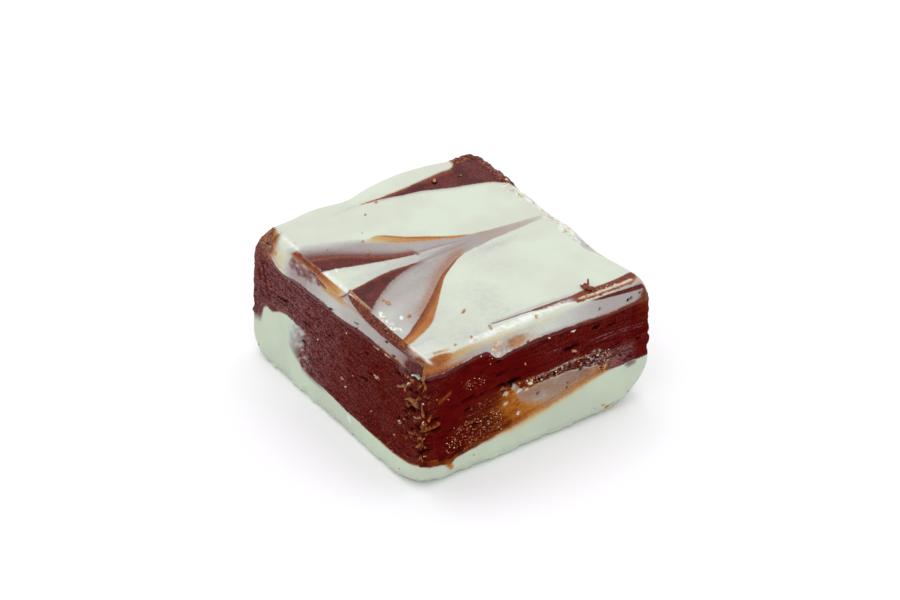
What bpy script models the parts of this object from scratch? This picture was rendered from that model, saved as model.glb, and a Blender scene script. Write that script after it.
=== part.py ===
"""A hand-cut square of layered mint and chocolate fudge, lying on its flat underside.

Three layers run through the block: a pale mint base, a thick chocolate core and a thin mint top.
The origin is on the surface below, at the middle of the block's whole width and length. +X and +Y run
along the cut sides, the front side faces -Y, and +Z points up. The shape is worked out about the middle
of the straight sides, and each layer is then moved by CENTRE_X to allow for the swollen left side.
"""

import bisect
import math

import bmesh
import bpy

MM = 0.001

# The block's overall size.
WIDTH = 30.0 * MM  # along X
LENGTH = 32.8 * MM  # along Y
HEIGHT = 15.7 * MM

# The knife rounds the top edge over this height, and the layers keep this far apart.
SHOULDER_HEIGHT = 3.0 * MM
LAYER_GAP = 0.3 * MM

# The low left side swells a little where the soft base was pressed down.
SWELL = 0.75 * MM
SWELL_CENTRE = 1.2 * MM
SWELL_SPREAD = 2.6 * MM
CENTRE_X = SWELL / 2  # brings the middle of the whole width back over the origin

# How far each side is drawn in at the top edge, how far at the foot, and how high the foot curve goes.
SIDES = {
    "front": (1.10 * MM, 1.10 * MM, 1.6 * MM),
    "right": (1.80 * MM, 1.60 * MM, 5.0 * MM),
    "back": (1.20 * MM, 1.20 * MM, 3.0 * MM),
    "left": (1.35 * MM, 0.50 * MM, 0.9 * MM),
}

# Each upright corner starts its side, counter-clockwise from above. Its radius, what the radius gains
# towards the foot, how high that gain goes, and what it gains towards the top.
CORNERS = {
    "front": (0.6 * MM, 4.0 * MM, 4.5 * MM, 0.3 * MM),
    "right": (0.9 * MM, 3.6 * MM, 6.0 * MM, 0.3 * MM),
    "back": (1.0 * MM, 3.0 * MM, 5.0 * MM, 0.6 * MM),
    "left": (0.5 * MM, 3.0 * MM, 5.0 * MM, 2.0 * MM),
}
CORNER_TOP_HEIGHT = 4.7 * MM  # the corners open out within this height below the top

# Height of the two layer boundaries along each side, as (distance along +X or +Y, height) in mm.
BASE_TOP = {
    "front": [(-15, 3.0), (-11.5, 2.4), (-5, 3.5), (3, 5.0), (9, 6.0), (15, 6.0)],
    "right": [(-16.4, 6.0), (-6, 4.2), (3, 3.4), (10, 5.0), (16.4, 4.4)],
    "back": [(-15, 4.7), (-9, 6.4), (-2, 5.0), (6, 3.2), (15, 4.4)],
    "left": [(-16.4, 3.0), (-12, 2.0), (-4, 2.0), (5.5, 2.6), (9.5, 7.6), (13, 6.9), (16.4, 4.7)],
}
CORE_TOP = {
    "front": [(-15, 14.2), (-8, 14.5), (-4, 13.6), (4, 13.6), (10, 13.4), (15, 13.7)],
    "right": [(-16.4, 13.7), (-8, 13.0), (0, 13.4), (8, 12.8), (16.4, 14.2)],
    "back": [(-15, 14.3), (-6, 13.2), (3, 12.9), (9, 13.6), (15, 14.2)],
    "left": [(-16.4, 14.2), (-4, 14.0), (1, 13.6), (6, 13.5), (11, 14.0), (16.4, 14.3)],
}

# Mesh density: segments along each side, an even number, and rows up each layer.
SIDE_SEGMENTS = 20
RINGS = SIDE_SEGMENTS // 2
BASE_ROWS = 6
CORE_ROWS = 6
TOP_ROWS = 4


def quarter_round(amount, share):
    """How far a rounded edge is drawn in, from nothing at share 0 to the whole amount at share 1."""
    share = min(max(share, 0.0), 1.0)
    return amount * (1.0 - math.sqrt(1.0 - share * share))


def side_inset(side, z):
    shoulder, foot, foot_height = SIDES[side]
    inset = quarter_round(shoulder, 1.0 - (HEIGHT - z) / SHOULDER_HEIGHT)
    inset += quarter_round(foot, 1.0 - z / foot_height)
    if side == "left":
        inset -= SWELL * math.exp(-(((z - SWELL_CENTRE) / SWELL_SPREAD) ** 2))
    return inset


def corner_radius(corner, z):
    radius, foot_gain, foot_height, top_gain = CORNERS[corner]
    low = max(1.0 - z / foot_height, 0.0)
    high = max(1.0 - (HEIGHT - z) / CORNER_TOP_HEIGHT, 0.0)
    return radius + foot_gain * low**2 + top_gain * high**2


def outline(step, z):
    """The point at height z on the block's outer skin, step segments round from the front left corner."""
    low = (-WIDTH / 2 + side_inset("left", z), -LENGTH / 2 + side_inset("front", z))
    high = (WIDTH / 2 - side_inset("right", z), LENGTH / 2 - side_inset("back", z))
    corners = [low, (high[0], low[1]), high, (low[0], high[1])]
    names = list(SIDES)
    side = step // SIDE_SEGMENTS % 4
    share = step % SIDE_SEGMENTS / SIDE_SEGMENTS
    (x0, y0), (x1, y1) = corners[side], corners[(side + 1) % 4]
    length = math.hypot(x1 - x0, y1 - y0)
    along = ((x1 - x0) / length, (y1 - y0) / length)
    inward = (-along[1], along[0])

    def place(distance, depth):
        return (
            x0 + along[0] * distance + inward[0] * depth,
            y0 + along[1] * distance + inward[1] * depth,
        )

    distance = share * length
    start_radius = corner_radius(names[side], z)
    end_radius = corner_radius(names[(side + 1) % 4], z)
    if distance < start_radius:
        turn = math.pi / 4 * (1.0 - distance / start_radius)
        return place(start_radius * (1.0 - math.sin(turn)), start_radius * (1.0 - math.cos(turn)))
    if length - distance < end_radius:
        turn = math.pi / 4 * (1.0 - (length - distance) / end_radius)
        return place(length - end_radius * (1.0 - math.sin(turn)), end_radius * (1.0 - math.cos(turn)))
    return place(distance, 0.0)


def profile(points, position):
    """Height along one side: an easy curve from each (position, height) to the next, in metres."""
    position /= MM
    if position <= points[0][0]:
        return points[0][1] * MM
    if position >= points[-1][0]:
        return points[-1][1] * MM
    after = bisect.bisect_right([point[0] for point in points], position)
    (p0, z0), (p1, z1) = points[after - 1], points[after]
    share = (position - p0) / (p1 - p0)
    share = share * share * (3.0 - 2.0 * share)
    return (z0 + (z1 - z0) * share) * MM


def boundary(sides, x, y):
    """Height of a layer boundary anywhere in the block, blended from its height along the four sides."""
    u = min(max(x / WIDTH + 0.5, 0.0), 1.0)
    v = min(max(y / LENGTH + 0.5, 0.0), 1.0)
    front, back = profile(sides["front"], x), profile(sides["back"], x)
    left, right = profile(sides["left"], y), profile(sides["right"], y)
    front_left, front_right = sides["front"][0][1] * MM, sides["front"][-1][1] * MM
    back_left, back_right = sides["back"][0][1] * MM, sides["back"][-1][1] * MM
    ruled = (1 - v) * front + v * back + (1 - u) * left + u * right
    corners = (1 - v) * ((1 - u) * front_left + u * front_right)
    corners += v * ((1 - u) * back_left + u * back_right)
    return ruled - corners


def boundary_face(sides, lift):
    """A height for each (x, y): the boundary moved along its own normal by lift."""
    reach = 0.25 * MM

    def height(x, y):
        slope_x = (boundary(sides, x + reach, y) - boundary(sides, x - reach, y)) / (2 * reach)
        slope_y = (boundary(sides, x, y + reach) - boundary(sides, x, y - reach)) / (2 * reach)
        return boundary(sides, x, y) + lift * math.sqrt(1.0 + slope_x**2 + slope_y**2)

    return height


def level(z):
    return lambda x, y: z


def rim_height(face, step):
    """Height at which a face meets the outer skin."""
    return face(*outline(step, HEIGHT / 2))


def add_cap(mesh, face, rim):
    """Closes a ring of vertices with a square grid that follows the face, ring by ring to the middle."""
    outer = rim
    for ring in range(RINGS - 1, 0, -1):
        share = ring / RINGS
        inner = []
        for step in range(8 * ring):
            side, place = divmod(step, 2 * ring)
            # The ring's points lie on the lines that join the middle to evenly shared rim places.
            at = side * SIDE_SEGMENTS + place * SIDE_SEGMENTS / (2 * ring)
            before = math.floor(at)
            blend = at - before
            first, second = rim[before].co, rim[(before + 1) % len(rim)].co
            x = ((1 - blend) * first.x + blend * second.x) * share
            y = ((1 - blend) * first.y + blend * second.y) * share
            inner.append(mesh.verts.new((x, y, face(x, y))))
        stitch(mesh, outer, inner, ring)
        outer = inner
    middle = mesh.verts.new((0.0, 0.0, face(0.0, 0.0)))
    for side in range(4):
        mesh.faces.new((middle, outer[2 * side - 1], outer[2 * side], outer[2 * side + 1]))


def stitch(mesh, outer, inner, ring):
    """Joins a grid ring to the next one in, which has two segments fewer on each side."""
    count_out, count_in = len(outer), len(inner)
    for side in range(4):
        corner_out = side * 2 * (ring + 1)
        corner_in = side * 2 * ring
        mesh.faces.new(
            (outer[corner_out - 1], outer[corner_out], outer[corner_out + 1], inner[corner_in])
        )
        for place in range(2 * ring):
            mesh.faces.new(
                (
                    inner[corner_in + place],
                    outer[(corner_out + place + 1) % count_out],
                    outer[(corner_out + place + 2) % count_out],
                    inner[(corner_in + place + 1) % count_in],
                )
            )


def material(name, colour, roughness):
    made = bpy.data.materials.new(name)
    made.use_nodes = True
    shader = made.node_tree.nodes["Principled BSDF"]
    shader.inputs["Base Color"].default_value = (*colour, 1.0)
    shader.inputs["Roughness"].default_value = roughness
    shader.inputs["Metallic"].default_value = 0.0
    made.diffuse_color = (*colour, 1.0)
    return made


def layer(name, lower, upper, rows, spacing, finish):
    """One closed layer of the block between two faces. Spacing shares out its rows from 0 to 1."""
    mesh = bmesh.new()
    steps = 4 * SIDE_SEGMENTS
    rings = []
    for row in range(rows + 1):
        share = spacing(row / rows)
        ring = []
        for step in range(steps):
            z_low, z_high = rim_height(lower, step), rim_height(upper, step)
            z = z_low + (z_high - z_low) * share
            ring.append(mesh.verts.new((*outline(step, z), z)))
        rings.append(ring)
    for below, above in zip(rings, rings[1:]):
        for step in range(steps):
            after = (step + 1) % steps
            mesh.faces.new((below[step], below[after], above[after], above[step]))
    add_cap(mesh, lower, rings[0])
    add_cap(mesh, upper, rings[-1])
    bmesh.ops.recalc_face_normals(mesh, faces=mesh.faces)
    bmesh.ops.translate(mesh, verts=mesh.verts, vec=(CENTRE_X, 0.0, 0.0))
    data = bpy.data.meshes.new(name)
    mesh.to_mesh(data)
    mesh.free()
    data.materials.append(finish)
    data.shade_smooth()
    data.set_sharp_from_angle(angle=math.radians(50))
    made = bpy.data.objects.new(name, data)
    bpy.context.collection.objects.link(made)
    return made


def even(share):
    return share


def close_at_start(share):
    return 1.0 - math.cos(share * math.pi / 2)


def close_at_end(share):
    return math.sin(share * math.pi / 2)


def main():
    for old in list(bpy.data.objects):
        bpy.data.objects.remove(old, do_unlink=True)

    mint = material("mint_fudge", (0.70, 0.76, 0.62), 0.45)
    chocolate = material("chocolate_fudge", (0.10, 0.012, 0.008), 0.50)

    base_top = boundary_face(BASE_TOP, -LAYER_GAP / 2)
    core_bottom = boundary_face(BASE_TOP, LAYER_GAP / 2)
    core_top = boundary_face(CORE_TOP, -LAYER_GAP / 2)
    cover_bottom = boundary_face(CORE_TOP, LAYER_GAP / 2)

    layer("mint_base", level(0.0), base_top, BASE_ROWS, close_at_start, mint)
    layer("chocolate_core", core_bottom, core_top, CORE_ROWS, even, chocolate)
    layer("mint_top", cover_bottom, level(HEIGHT), TOP_ROWS, close_at_end, mint)


main()
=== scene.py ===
"""The looks of a hand-cut square of layered mint and chocolate fudge.

Shapes are worked out in millimetres, about the middle of the block's straight sides, and moved onto the
CAD frame when their meshes are made. The front side faces -Y and the left side -X.
"""

import math

import bpy
import numpy as np
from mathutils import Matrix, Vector


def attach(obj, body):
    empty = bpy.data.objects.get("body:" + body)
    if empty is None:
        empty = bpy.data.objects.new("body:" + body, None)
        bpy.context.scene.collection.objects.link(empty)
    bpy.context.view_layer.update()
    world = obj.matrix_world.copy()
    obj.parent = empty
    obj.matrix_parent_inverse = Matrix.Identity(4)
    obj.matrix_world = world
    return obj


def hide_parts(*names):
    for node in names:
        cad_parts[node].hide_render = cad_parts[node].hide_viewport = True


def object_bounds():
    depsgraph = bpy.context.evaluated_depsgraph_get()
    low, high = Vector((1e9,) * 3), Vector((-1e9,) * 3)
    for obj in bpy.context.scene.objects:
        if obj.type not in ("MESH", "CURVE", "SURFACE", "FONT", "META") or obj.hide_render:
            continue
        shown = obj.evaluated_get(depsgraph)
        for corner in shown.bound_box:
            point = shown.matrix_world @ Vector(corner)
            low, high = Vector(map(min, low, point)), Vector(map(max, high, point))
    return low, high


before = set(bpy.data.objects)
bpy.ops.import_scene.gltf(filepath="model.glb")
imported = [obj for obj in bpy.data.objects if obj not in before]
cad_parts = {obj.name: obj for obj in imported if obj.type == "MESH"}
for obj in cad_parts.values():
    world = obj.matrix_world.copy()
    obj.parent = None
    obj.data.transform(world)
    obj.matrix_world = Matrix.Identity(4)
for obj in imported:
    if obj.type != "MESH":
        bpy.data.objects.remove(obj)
CAD_LOW, CAD_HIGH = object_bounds()

MM = 0.001
BODY = "root"

# ---------------------------------------------------------------- the block's form, as in the CAD model

SWELL = 0.75  # the soft base bulges this far on the left side
SWELL_CENTRE = 1.2
SWELL_SPREAD = 2.6
LENGTH = (CAD_HIGH.y - CAD_LOW.y) / MM
HEIGHT = CAD_HIGH.z / MM
WIDTH = (CAD_HIGH.x - CAD_LOW.x) / MM - SWELL
CENTRE_X = SWELL / 2
SHOULDER = 3.0
SHOULDER_START = HEIGHT - SHOULDER
WALL_TOP = SHOULDER_START + SHOULDER * math.pi / 2  # distance up the wall and over the shoulder

FRONT, RIGHT, BACK, LEFT = range(4)
# Each side's draw-in at the top edge, draw-in at the foot and height of the foot curve.
SHOULDER_INSET = np.array([1.10, 1.80, 1.20, 1.35])
FOOT_INSET = np.array([1.10, 1.60, 1.20, 0.50])
FOOT_HEIGHT = np.array([1.6, 5.0, 3.0, 0.9])
# Each upright corner's radius, its gain towards the foot, the height of that gain, its gain at the top.
CORNER_RADIUS = np.array([0.6, 0.9, 1.0, 0.5])
CORNER_FOOT_GAIN = np.array([4.0, 4.8, 3.0, 3.0])
CORNER_FOOT_HEIGHT = np.array([4.5, 6.0, 5.0, 5.0])
CORNER_TOP_GAIN = np.array([0.3, 0.3, 0.6, 2.0])
CORNER_TOP_HEIGHT = 4.7

# Heights of the two layer boundaries along each side, as (distance along +X or +Y, height).
BASE_TOP = [
    [(-15, 3.0), (-11.5, 2.4), (-5, 3.5), (3, 5.0), (9, 6.0), (15, 6.0)],
    [(-16.4, 6.0), (-6, 4.2), (3, 3.4), (10, 5.0), (16.4, 4.4)],
    [(-15, 4.7), (-9, 6.4), (-2, 5.0), (6, 3.2), (15, 4.4)],
    [(-16.4, 3.0), (-12, 2.0), (-4, 2.0), (5.5, 2.6), (9.5, 7.6), (13, 6.9), (16.4, 4.7)],
]
CORE_TOP = [
    [(-15, 14.2), (-8, 14.5), (-4, 13.6), (4, 13.6), (10, 13.4), (15, 13.7)],
    [(-16.4, 13.7), (-8, 13.0), (0, 13.4), (8, 12.8), (16.4, 14.2)],
    [(-15, 14.3), (-6, 13.2), (3, 12.9), (9, 13.6), (15, 14.2)],
    [(-16.4, 14.2), (-4, 14.0), (1, 13.6), (6, 13.5), (11, 14.0), (16.4, 14.3)],
]

# How far the top edge wanders in (+) or out (-) along each side.
EDGE_WANDER = [
    [(-15, 0.0), (-9, 0.1), (-4, -0.1), (2, 0.05), (8, -0.05), (15, 0.0)],
    [(-16.4, 0.0), (-14, -0.1), (-12, 0.2), (-9, 0.9), (-7.2, 1.35), (-5, 0.85), (-3, 0.35), (-0.5, 0.75),
     (2.5, 0.85), (5.3, 0.4), (7, 0.7), (8.6, 0.2), (11, 0.1), (14, 0.15), (16.4, 0.2)],
    [(-15, 0.0), (-12, 0.3), (-7, 0.0), (-3.2, 0.5), (0, -0.35), (3.2, -0.75), (8, -0.35), (10.6, 0.25),
     (12, 0.25), (15, 0.35)],
    [(-16.4, 0.0), (-11, 0.1), (-4, -0.1), (3, 0.1), (10, 0.0), (14, 0.1), (16.4, 0.5)],
]

COLUMNS = 240  # mesh columns along each side
CELL = 0.13  # mesh row height


def smooth(low, high, value):
    """0 below low, 1 above high, an easy curve between."""
    share = np.clip((value - low) / (high - low), 0.0, 1.0)
    return share * share * (3.0 - 2.0 * share)


def along_points(points, position):
    """Easy steps from one (position, value) to the next."""
    points = np.array(points, float)
    position = np.clip(position, points[0, 0], points[-1, 0])
    after = np.clip(np.searchsorted(points[:, 0], position, side="right"), 1, len(points) - 1)
    p0, v0, p1, v1 = points[after - 1, 0], points[after - 1, 1], points[after, 0], points[after, 1]
    share = (position - p0) / (p1 - p0)
    return v0 + (v1 - v0) * share * share * (3.0 - 2.0 * share)


def curve(points, position):
    """A smooth curve through (position, value) points, level beyond its ends."""
    x, y = np.array(points, float).T
    slope = np.gradient(y, x)
    position = np.clip(position, x[0], x[-1])
    after = np.clip(np.searchsorted(x, position, side="right"), 1, len(x) - 1)
    step = x[after] - x[after - 1]
    t = (position - x[after - 1]) / step
    start = (2 * t**3 - 3 * t**2 + 1) * y[after - 1] + (t**3 - 2 * t**2 + t) * step * slope[after - 1]
    return start + (3 * t**2 - 2 * t**3) * y[after] + (t**3 - t**2) * step * slope[after]


def boundary(sides, x, y):
    """Height of a layer boundary anywhere in the block, blended from its height along the four sides."""
    u = np.clip(x / WIDTH + 0.5, 0.0, 1.0)
    v = np.clip(y / LENGTH + 0.5, 0.0, 1.0)
    front, right, back, left = (
        along_points(side, y if number in (RIGHT, LEFT) else x) for number, side in enumerate(sides)
    )
    ruled = (1 - v) * front + v * back + (1 - u) * left + u * right
    corners = (1 - v) * ((1 - u) * sides[FRONT][0][1] + u * sides[FRONT][-1][1])
    corners += v * ((1 - u) * sides[BACK][0][1] + u * sides[BACK][-1][1])
    return ruled - corners


def wall_height(w):
    """Height and shoulder turn (0 to a quarter) at a distance w up the wall."""
    turn = np.clip((w - SHOULDER_START) / SHOULDER, 0.0, math.pi / 2)
    return np.where(w < SHOULDER_START, w, SHOULDER_START + SHOULDER * np.sin(turn)), turn


def wall_distance(z):
    """The distance up the wall at height z."""
    over = np.clip((z - SHOULDER_START) / SHOULDER, 0.0, 1.0)
    return np.where(z < SHOULDER_START, z, SHOULDER_START + SHOULDER * np.arcsin(over))


def side_inset(side, z, turn):
    foot = np.clip(1.0 - z / FOOT_HEIGHT[side], 0.0, 1.0)
    inset = SHOULDER_INSET[side] * (1.0 - np.cos(turn))
    inset = inset + FOOT_INSET[side] * (1.0 - np.sqrt(1.0 - foot**2))
    if side == LEFT:
        inset = inset - SWELL * np.exp(-(((z - SWELL_CENTRE) / SWELL_SPREAD) ** 2))
    return inset


def skin(s, w):
    """The block's smooth outer skin. s runs from 0 to 4 round the sides, w up the wall."""
    z, turn = wall_height(w)
    x0 = -WIDTH / 2 + side_inset(LEFT, z, turn)
    x1 = WIDTH / 2 - side_inset(RIGHT, z, turn)
    y0 = -LENGTH / 2 + side_inset(FRONT, z, turn)
    y1 = LENGTH / 2 - side_inset(BACK, z, turn)
    side = np.floor(s).astype(int) % 4
    share = s - np.floor(s)
    low = np.clip(1.0 - z / CORNER_FOOT_HEIGHT[side], 0.0, 1.0)
    high = np.clip(1.0 - (HEIGHT - z) / CORNER_TOP_HEIGHT, 0.0, 1.0)
    start_radius = CORNER_RADIUS[side] + CORNER_FOOT_GAIN[side] * low**2 + CORNER_TOP_GAIN[side] * high**2
    after = (side + 1) % 4
    low = np.clip(1.0 - z / CORNER_FOOT_HEIGHT[after], 0.0, 1.0)
    end_radius = CORNER_RADIUS[after] + CORNER_FOOT_GAIN[after] * low**2 + CORNER_TOP_GAIN[after] * high**2
    length = np.where(side % 2 == 0, x1 - x0, y1 - y0)
    distance = share * length
    turn_in = math.pi / 4 * np.clip(1.0 - distance / start_radius, 0.0, 1.0)
    turn_out = math.pi / 4 * np.clip(1.0 - (length - distance) / end_radius, 0.0, 1.0)
    at_start = distance < start_radius
    at_end = (length - distance < end_radius) & ~at_start
    depth = np.where(at_start, start_radius * (1 - np.cos(turn_in)), 0.0)
    depth = np.where(at_end, end_radius * (1 - np.cos(turn_out)), depth)
    distance = np.where(at_start, start_radius * (1 - np.sin(turn_in)), distance)
    distance = np.where(at_end, length - end_radius * (1 - np.sin(turn_out)), distance)
    x = np.choose(side, [x0 + distance, x1 - depth, x1 - distance, x0 + depth])
    y = np.choose(side, [y0 + depth, y0 + distance, y1 - depth, y1 - distance])
    # The top edge wanders, and the low left back corner bulges.
    wander = smooth(0.1, 1.3, turn)
    near = [smooth(-10.5, -14.5, y), smooth(9.0, 12.3, x), smooth(10.0, 14.2, y), smooth(-9.0, -12.6, x)]
    for number, points in enumerate(EDGE_WANDER):
        here = y if number in (RIGHT, LEFT) else x
        inward = curve(points, here) * wander * near[number]
        x = x + inward * np.choose(number, [0, -1, 0, 1])
        y = y + inward * np.choose(number, [1, 0, -1, 0])
    bulge = 0.15 * np.exp(-(((z - 7.0) / 3.0) ** 2)) * np.exp(-((x + 15) ** 2 + (y - 16.4) ** 2) / 12.0)
    return np.stack([x - bulge * 0.75, y + bulge * 0.6, z], axis=-1)


# ---------------------------------------------------------------- noise


GRADIENTS = np.random.default_rng(11).normal(size=(256, 3))
GRADIENTS /= np.linalg.norm(GRADIENTS, axis=1, keepdims=True)


def lattice(ix, iy, iz, seed):
    """A repeatable random direction for each whole-number place."""
    mixed = (ix * 73856093) ^ (iy * 19349663) ^ (iz * 83492791) ^ (seed * 265443576)
    mixed &= 0xFFFFFFFF
    mixed = ((mixed ^ (mixed >> 13)) * 1274126177) & 0xFFFFFFFF
    return GRADIENTS[(mixed ^ (mixed >> 16)) & 255]


def noise(points, size, seed=1):
    """Smooth noise from about -1 to 1 whose grains are about size (one number or three) across."""
    places = points / (1.25 * np.asarray(size, float)) + 0.37 * seed
    cell = np.floor(places).astype(np.int64)
    t = places - cell
    ease = t * t * t * (t * (t * 6.0 - 15.0) + 10.0)
    total = 0.0
    for dx in (0, 1):
        for dy in (0, 1):
            for dz in (0, 1):
                weight = (ease[..., 0] if dx else 1 - ease[..., 0]) * (ease[..., 1] if dy else 1 - ease[..., 1])
                weight = weight * (ease[..., 2] if dz else 1 - ease[..., 2])
                way = lattice(cell[..., 0] + dx, cell[..., 1] + dy, cell[..., 2] + dz, seed)
                total = total + weight * np.einsum("...k,...k", way, t - np.array([dx, dy, dz]))
    return np.clip(1.9 * total, -1.0, 1.0)


def layered_noise(points, size, seed=1, octaves=3):
    total, strength = 0.0, 1.0
    for octave in range(octaves):
        total = total + strength * noise(points, np.asarray(size) * 0.5**octave, seed + 17 * octave)
        strength *= 0.55
    return total


# ---------------------------------------------------------------- the pattern on each face


def between(position, height, upper, lower, soft_up, soft_down, ends=None):
    """Above 0 inside the band between two curves, 1 or more where well inside, below -1 well outside."""
    top, bottom = curve(upper, position), curve(lower, position)
    slope = 1.0 + 0.5 * (np.abs(curve(upper, position + 0.2) - top) / 0.2)
    value = np.minimum((top - height) / (soft_up * slope), (height - bottom) / (soft_down * slope))
    if ends:
        value = np.minimum(value, np.minimum(position - ends[0], ends[1] - position) / 0.12)
    return value


def spot(x, y, centre, radii, tilt=0.0):
    """1 at the middle of a soft oval spot, fading to 0 outside it."""
    dx, dy = x - centre[0], y - centre[1]
    c, s = math.cos(tilt), math.sin(tilt)
    return np.exp(-(((dx * c + dy * s) / radii[0]) ** 2) - ((dy * c - dx * s) / radii[1]) ** 2)


def line_distance(x, y, points):
    """Distance to a smooth line through points, and the share of the way along it."""
    points = np.array(points, float)
    knots = np.arange(len(points))
    fine = np.linspace(0, len(points) - 1, 8 * (len(points) - 1) + 1)
    lx, ly = (curve(np.stack([knots, points[:, k]], 1), fine) for k in (0, 1))
    best = np.full(np.shape(x), 1e9)
    share = np.zeros(np.shape(x))
    for k in range(len(fine) - 1):
        ax, ay, bx, by = lx[k], ly[k], lx[k + 1] - lx[k], ly[k + 1] - ly[k]
        t = np.clip(((x - ax) * bx + (y - ay) * by) / (bx * bx + by * by + 1e-12), 0.0, 1.0)
        d = np.hypot(x - ax - t * bx, y - ay - t * by)
        nearer = d < best
        best = np.where(nearer, d, best)
        share = np.where(nearer, (k + t) / (len(fine) - 1), share)
    return best, share


class Pattern:
    """What the surface is made of at each point.

    cocoa is above 0 in chocolate; the rest run from 0 to 1: veil is the grey-violet blend, smear is how much
    brown stain there is and tone how dark it is, then come white (pale flakes and painted highlights), the pale haze on
    chocolate (partly bloom, partly painted sheen), crumble, the loose grain, and painted shade in holes, pits and
    hollows.
    """

    NAMES = ("cocoa", "veil", "smear", "tone", "frost_and_glint", "bloom", "crumble", "hollow")

    def __init__(self, shape):
        self.cocoa = np.full(shape, -6.0)
        for name in self.NAMES[1:]:
            setattr(self, name, np.zeros(shape))

    def lift(self, name, amount):
        setattr(self, name, np.maximum(getattr(self, name), amount))

    def lay(self, name, share, value):
        before = getattr(self, name)
        setattr(self, name, before + (value - before) * np.clip(share, 0.0, 1.0))

    def stain(self, share, tone):
        share = np.clip(share, 0.0, 1.0)
        self.tone = self.tone + (tone - self.tone) * share / (self.smear + share + 1e-4)
        self.smear = np.maximum(self.smear, share)

    def blend(self, other, share):
        """This pattern turning into another where share goes from 0 to 1."""
        made = Pattern(self.cocoa.shape)
        for name in self.NAMES:
            setattr(made, name, getattr(self, name) * (1 - share) + getattr(other, name) * share)
        return made

    def part(self, mask):
        made = Pattern(int(np.count_nonzero(mask)))
        for name in self.NAMES:
            setattr(made, name, getattr(self, name)[mask])
        return made

    def put(self, mask, other):
        for name in self.NAMES:
            getattr(self, name)[mask] = getattr(other, name)


def inside(value):
    """A soft share, 0 to 1, from a signed depth in units of its own softness."""
    return smooth(-1.0, 1.0, value)


def fade(distance, reach, power=1.0):
    return np.exp(-((np.clip(distance, 0.0, 50.0) / reach) ** power))


def stroke(x, y, points, width, soft, start=0.0, stop=1.0):
    """A soft brush line through points, of a half width, and the share of the way along it."""
    d, share = line_distance(x, y, points)
    mask = smooth(width + soft, max(width - soft, 0.0), d)
    return mask * smooth(start - 0.02, start + 0.08, share) * smooth(stop + 0.02, stop - 0.08, share), share


WEDGE_BACK_UP = [(-3.2, 13.4), (0, 13.15), (4, 13.3), (8, 13.65), (10.1, 14.0), (10.8, 14.9), (12, 15.6), (14, 15.8)]
WEDGE_BACK_LOW = [(-3.2, 13.2), (0, 12.95), (2, 12.4), (4, 11.95), (6, 11.15), (8, 10.35), (10, 9.65),
                  (12, 8.8), (13, 7.8), (14, 7.3)]
WEDGE_UPPER_UP = [(-14, 7.3), (-13, 7.15), (-12, 6.8), (-10, 5.85), (-8, 4.4), (-6, 3.2), (-4, 2.3), (-3, 2.05)]
WEDGE_UPPER_LOW = [(-14, 4.7), (-13, 4.65), (-12, 4.45), (-10, 3.75), (-8, 3.1), (-6, 2.5), (-4, 2.02), (-3, 1.9)]
WEDGE_LOWER_UP = [(-14, -0.4), (-13.2, -0.2), (-12.5, 0.0), (-11, 0.2), (-10, 0.36), (-8, 0.6), (-6.5, 0.62),
                  (-5, 0.48), (-3.9, 0.34)]
WEDGE_LOWER_LOW = [(-14, -4.9), (-13, -4.2), (-12, -3.4), (-11, -2.7), (-10, -2.0), (-9, -1.4), (-8, -0.9),
                   (-7, -0.45), (-6, -0.1), (-5, 0.15), (-3.9, 0.3)]
STREAK_LINE = [(-14, -11.0), (-13, -10.65), (-12, -10.2), (-11, -9.55), (-10, -8.9), (-9, -8.15), (-8, -7.4),
               (-7, -6.65), (-6, -5.75), (-5, -4.85), (-4, -4.0), (-3, -3.15), (-2, -2.5), (-1, -1.95), (0, -1.4),
               (1, -1.05), (2, -0.85)]
STREAK_EDGE = [(-14, -11.8), (-13, -11.65), (-12, -11.3), (-11, -10.9), (-10, -10.4), (-9, -9.7), (-8, -8.7),
               (-7, -7.7), (-6, -6.6), (-5, -5.45), (-4, -4.4), (-3, -3.4), (-2, -2.65), (-1, -2.05), (2, -0.9)]
OCHRE_UP = [(-6.6, 7.0), (-5.6, 7.25), (-4.6, 7.15), (-4, 6.8), (-3, 5.9), (-2, 5.1), (-1, 4.45), (0, 3.8), (1, 3.15),
            (2, 2.6), (3, 2.12), (4, 1.75), (6, 1.2), (8, 0.9)]
OCHRE_LOW = [(-6.6, 6.8), (-5, 5.9), (-4, 5.0), (-3, 4.4), (-2, 3.9), (-1, 3.35), (0, 2.85), (1, 2.45), (2, 2.05),
             (4, 1.45), (6, 1.05), (8, 0.85)]
FAN_UP = [(-14, -4.6), (-12, -3.4), (-10, -2.0), (-8, -0.9), (-6, -0.1), (-4, 0.5), (0, 1.3), (4, 1.3), (8, 0.9),
          (13, 0.4)]
TAIL_LOW = [(-1, -1.9), (0, -1.3), (2, -0.9), (4, -0.45), (6, -0.35), (9, -0.3), (13, -0.15)]
UPPER_VEIL_UP = [(-14, 10.0), (-12, 9.4), (-10, 8.7), (-8, 8.0), (-6.5, 7.2), (-5, 6.2), (-4, 5.3), (-2, 4.1),
                 (0, 3.0), (2, 2.2), (4, 1.7), (8, 1.0), (13, 0.6)]
FRONT_BAND_UP = [(-4.6, -13.5), (-2, -13.72), (0, -13.88), (2, -14.0), (4, -14.1), (6, -14.2), (8, -14.15),
                 (10, -14.35), (12, -14.35), (14.2, -14.1)]
FRONT_BAND_LOW = [(-4.6, -13.6), (-2, -13.88), (0, -14.05), (2, -14.3), (4, -14.75), (6, -15.1), (8, -15.1),
                  (10, -15.2), (14.2, -15.3)]


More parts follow.
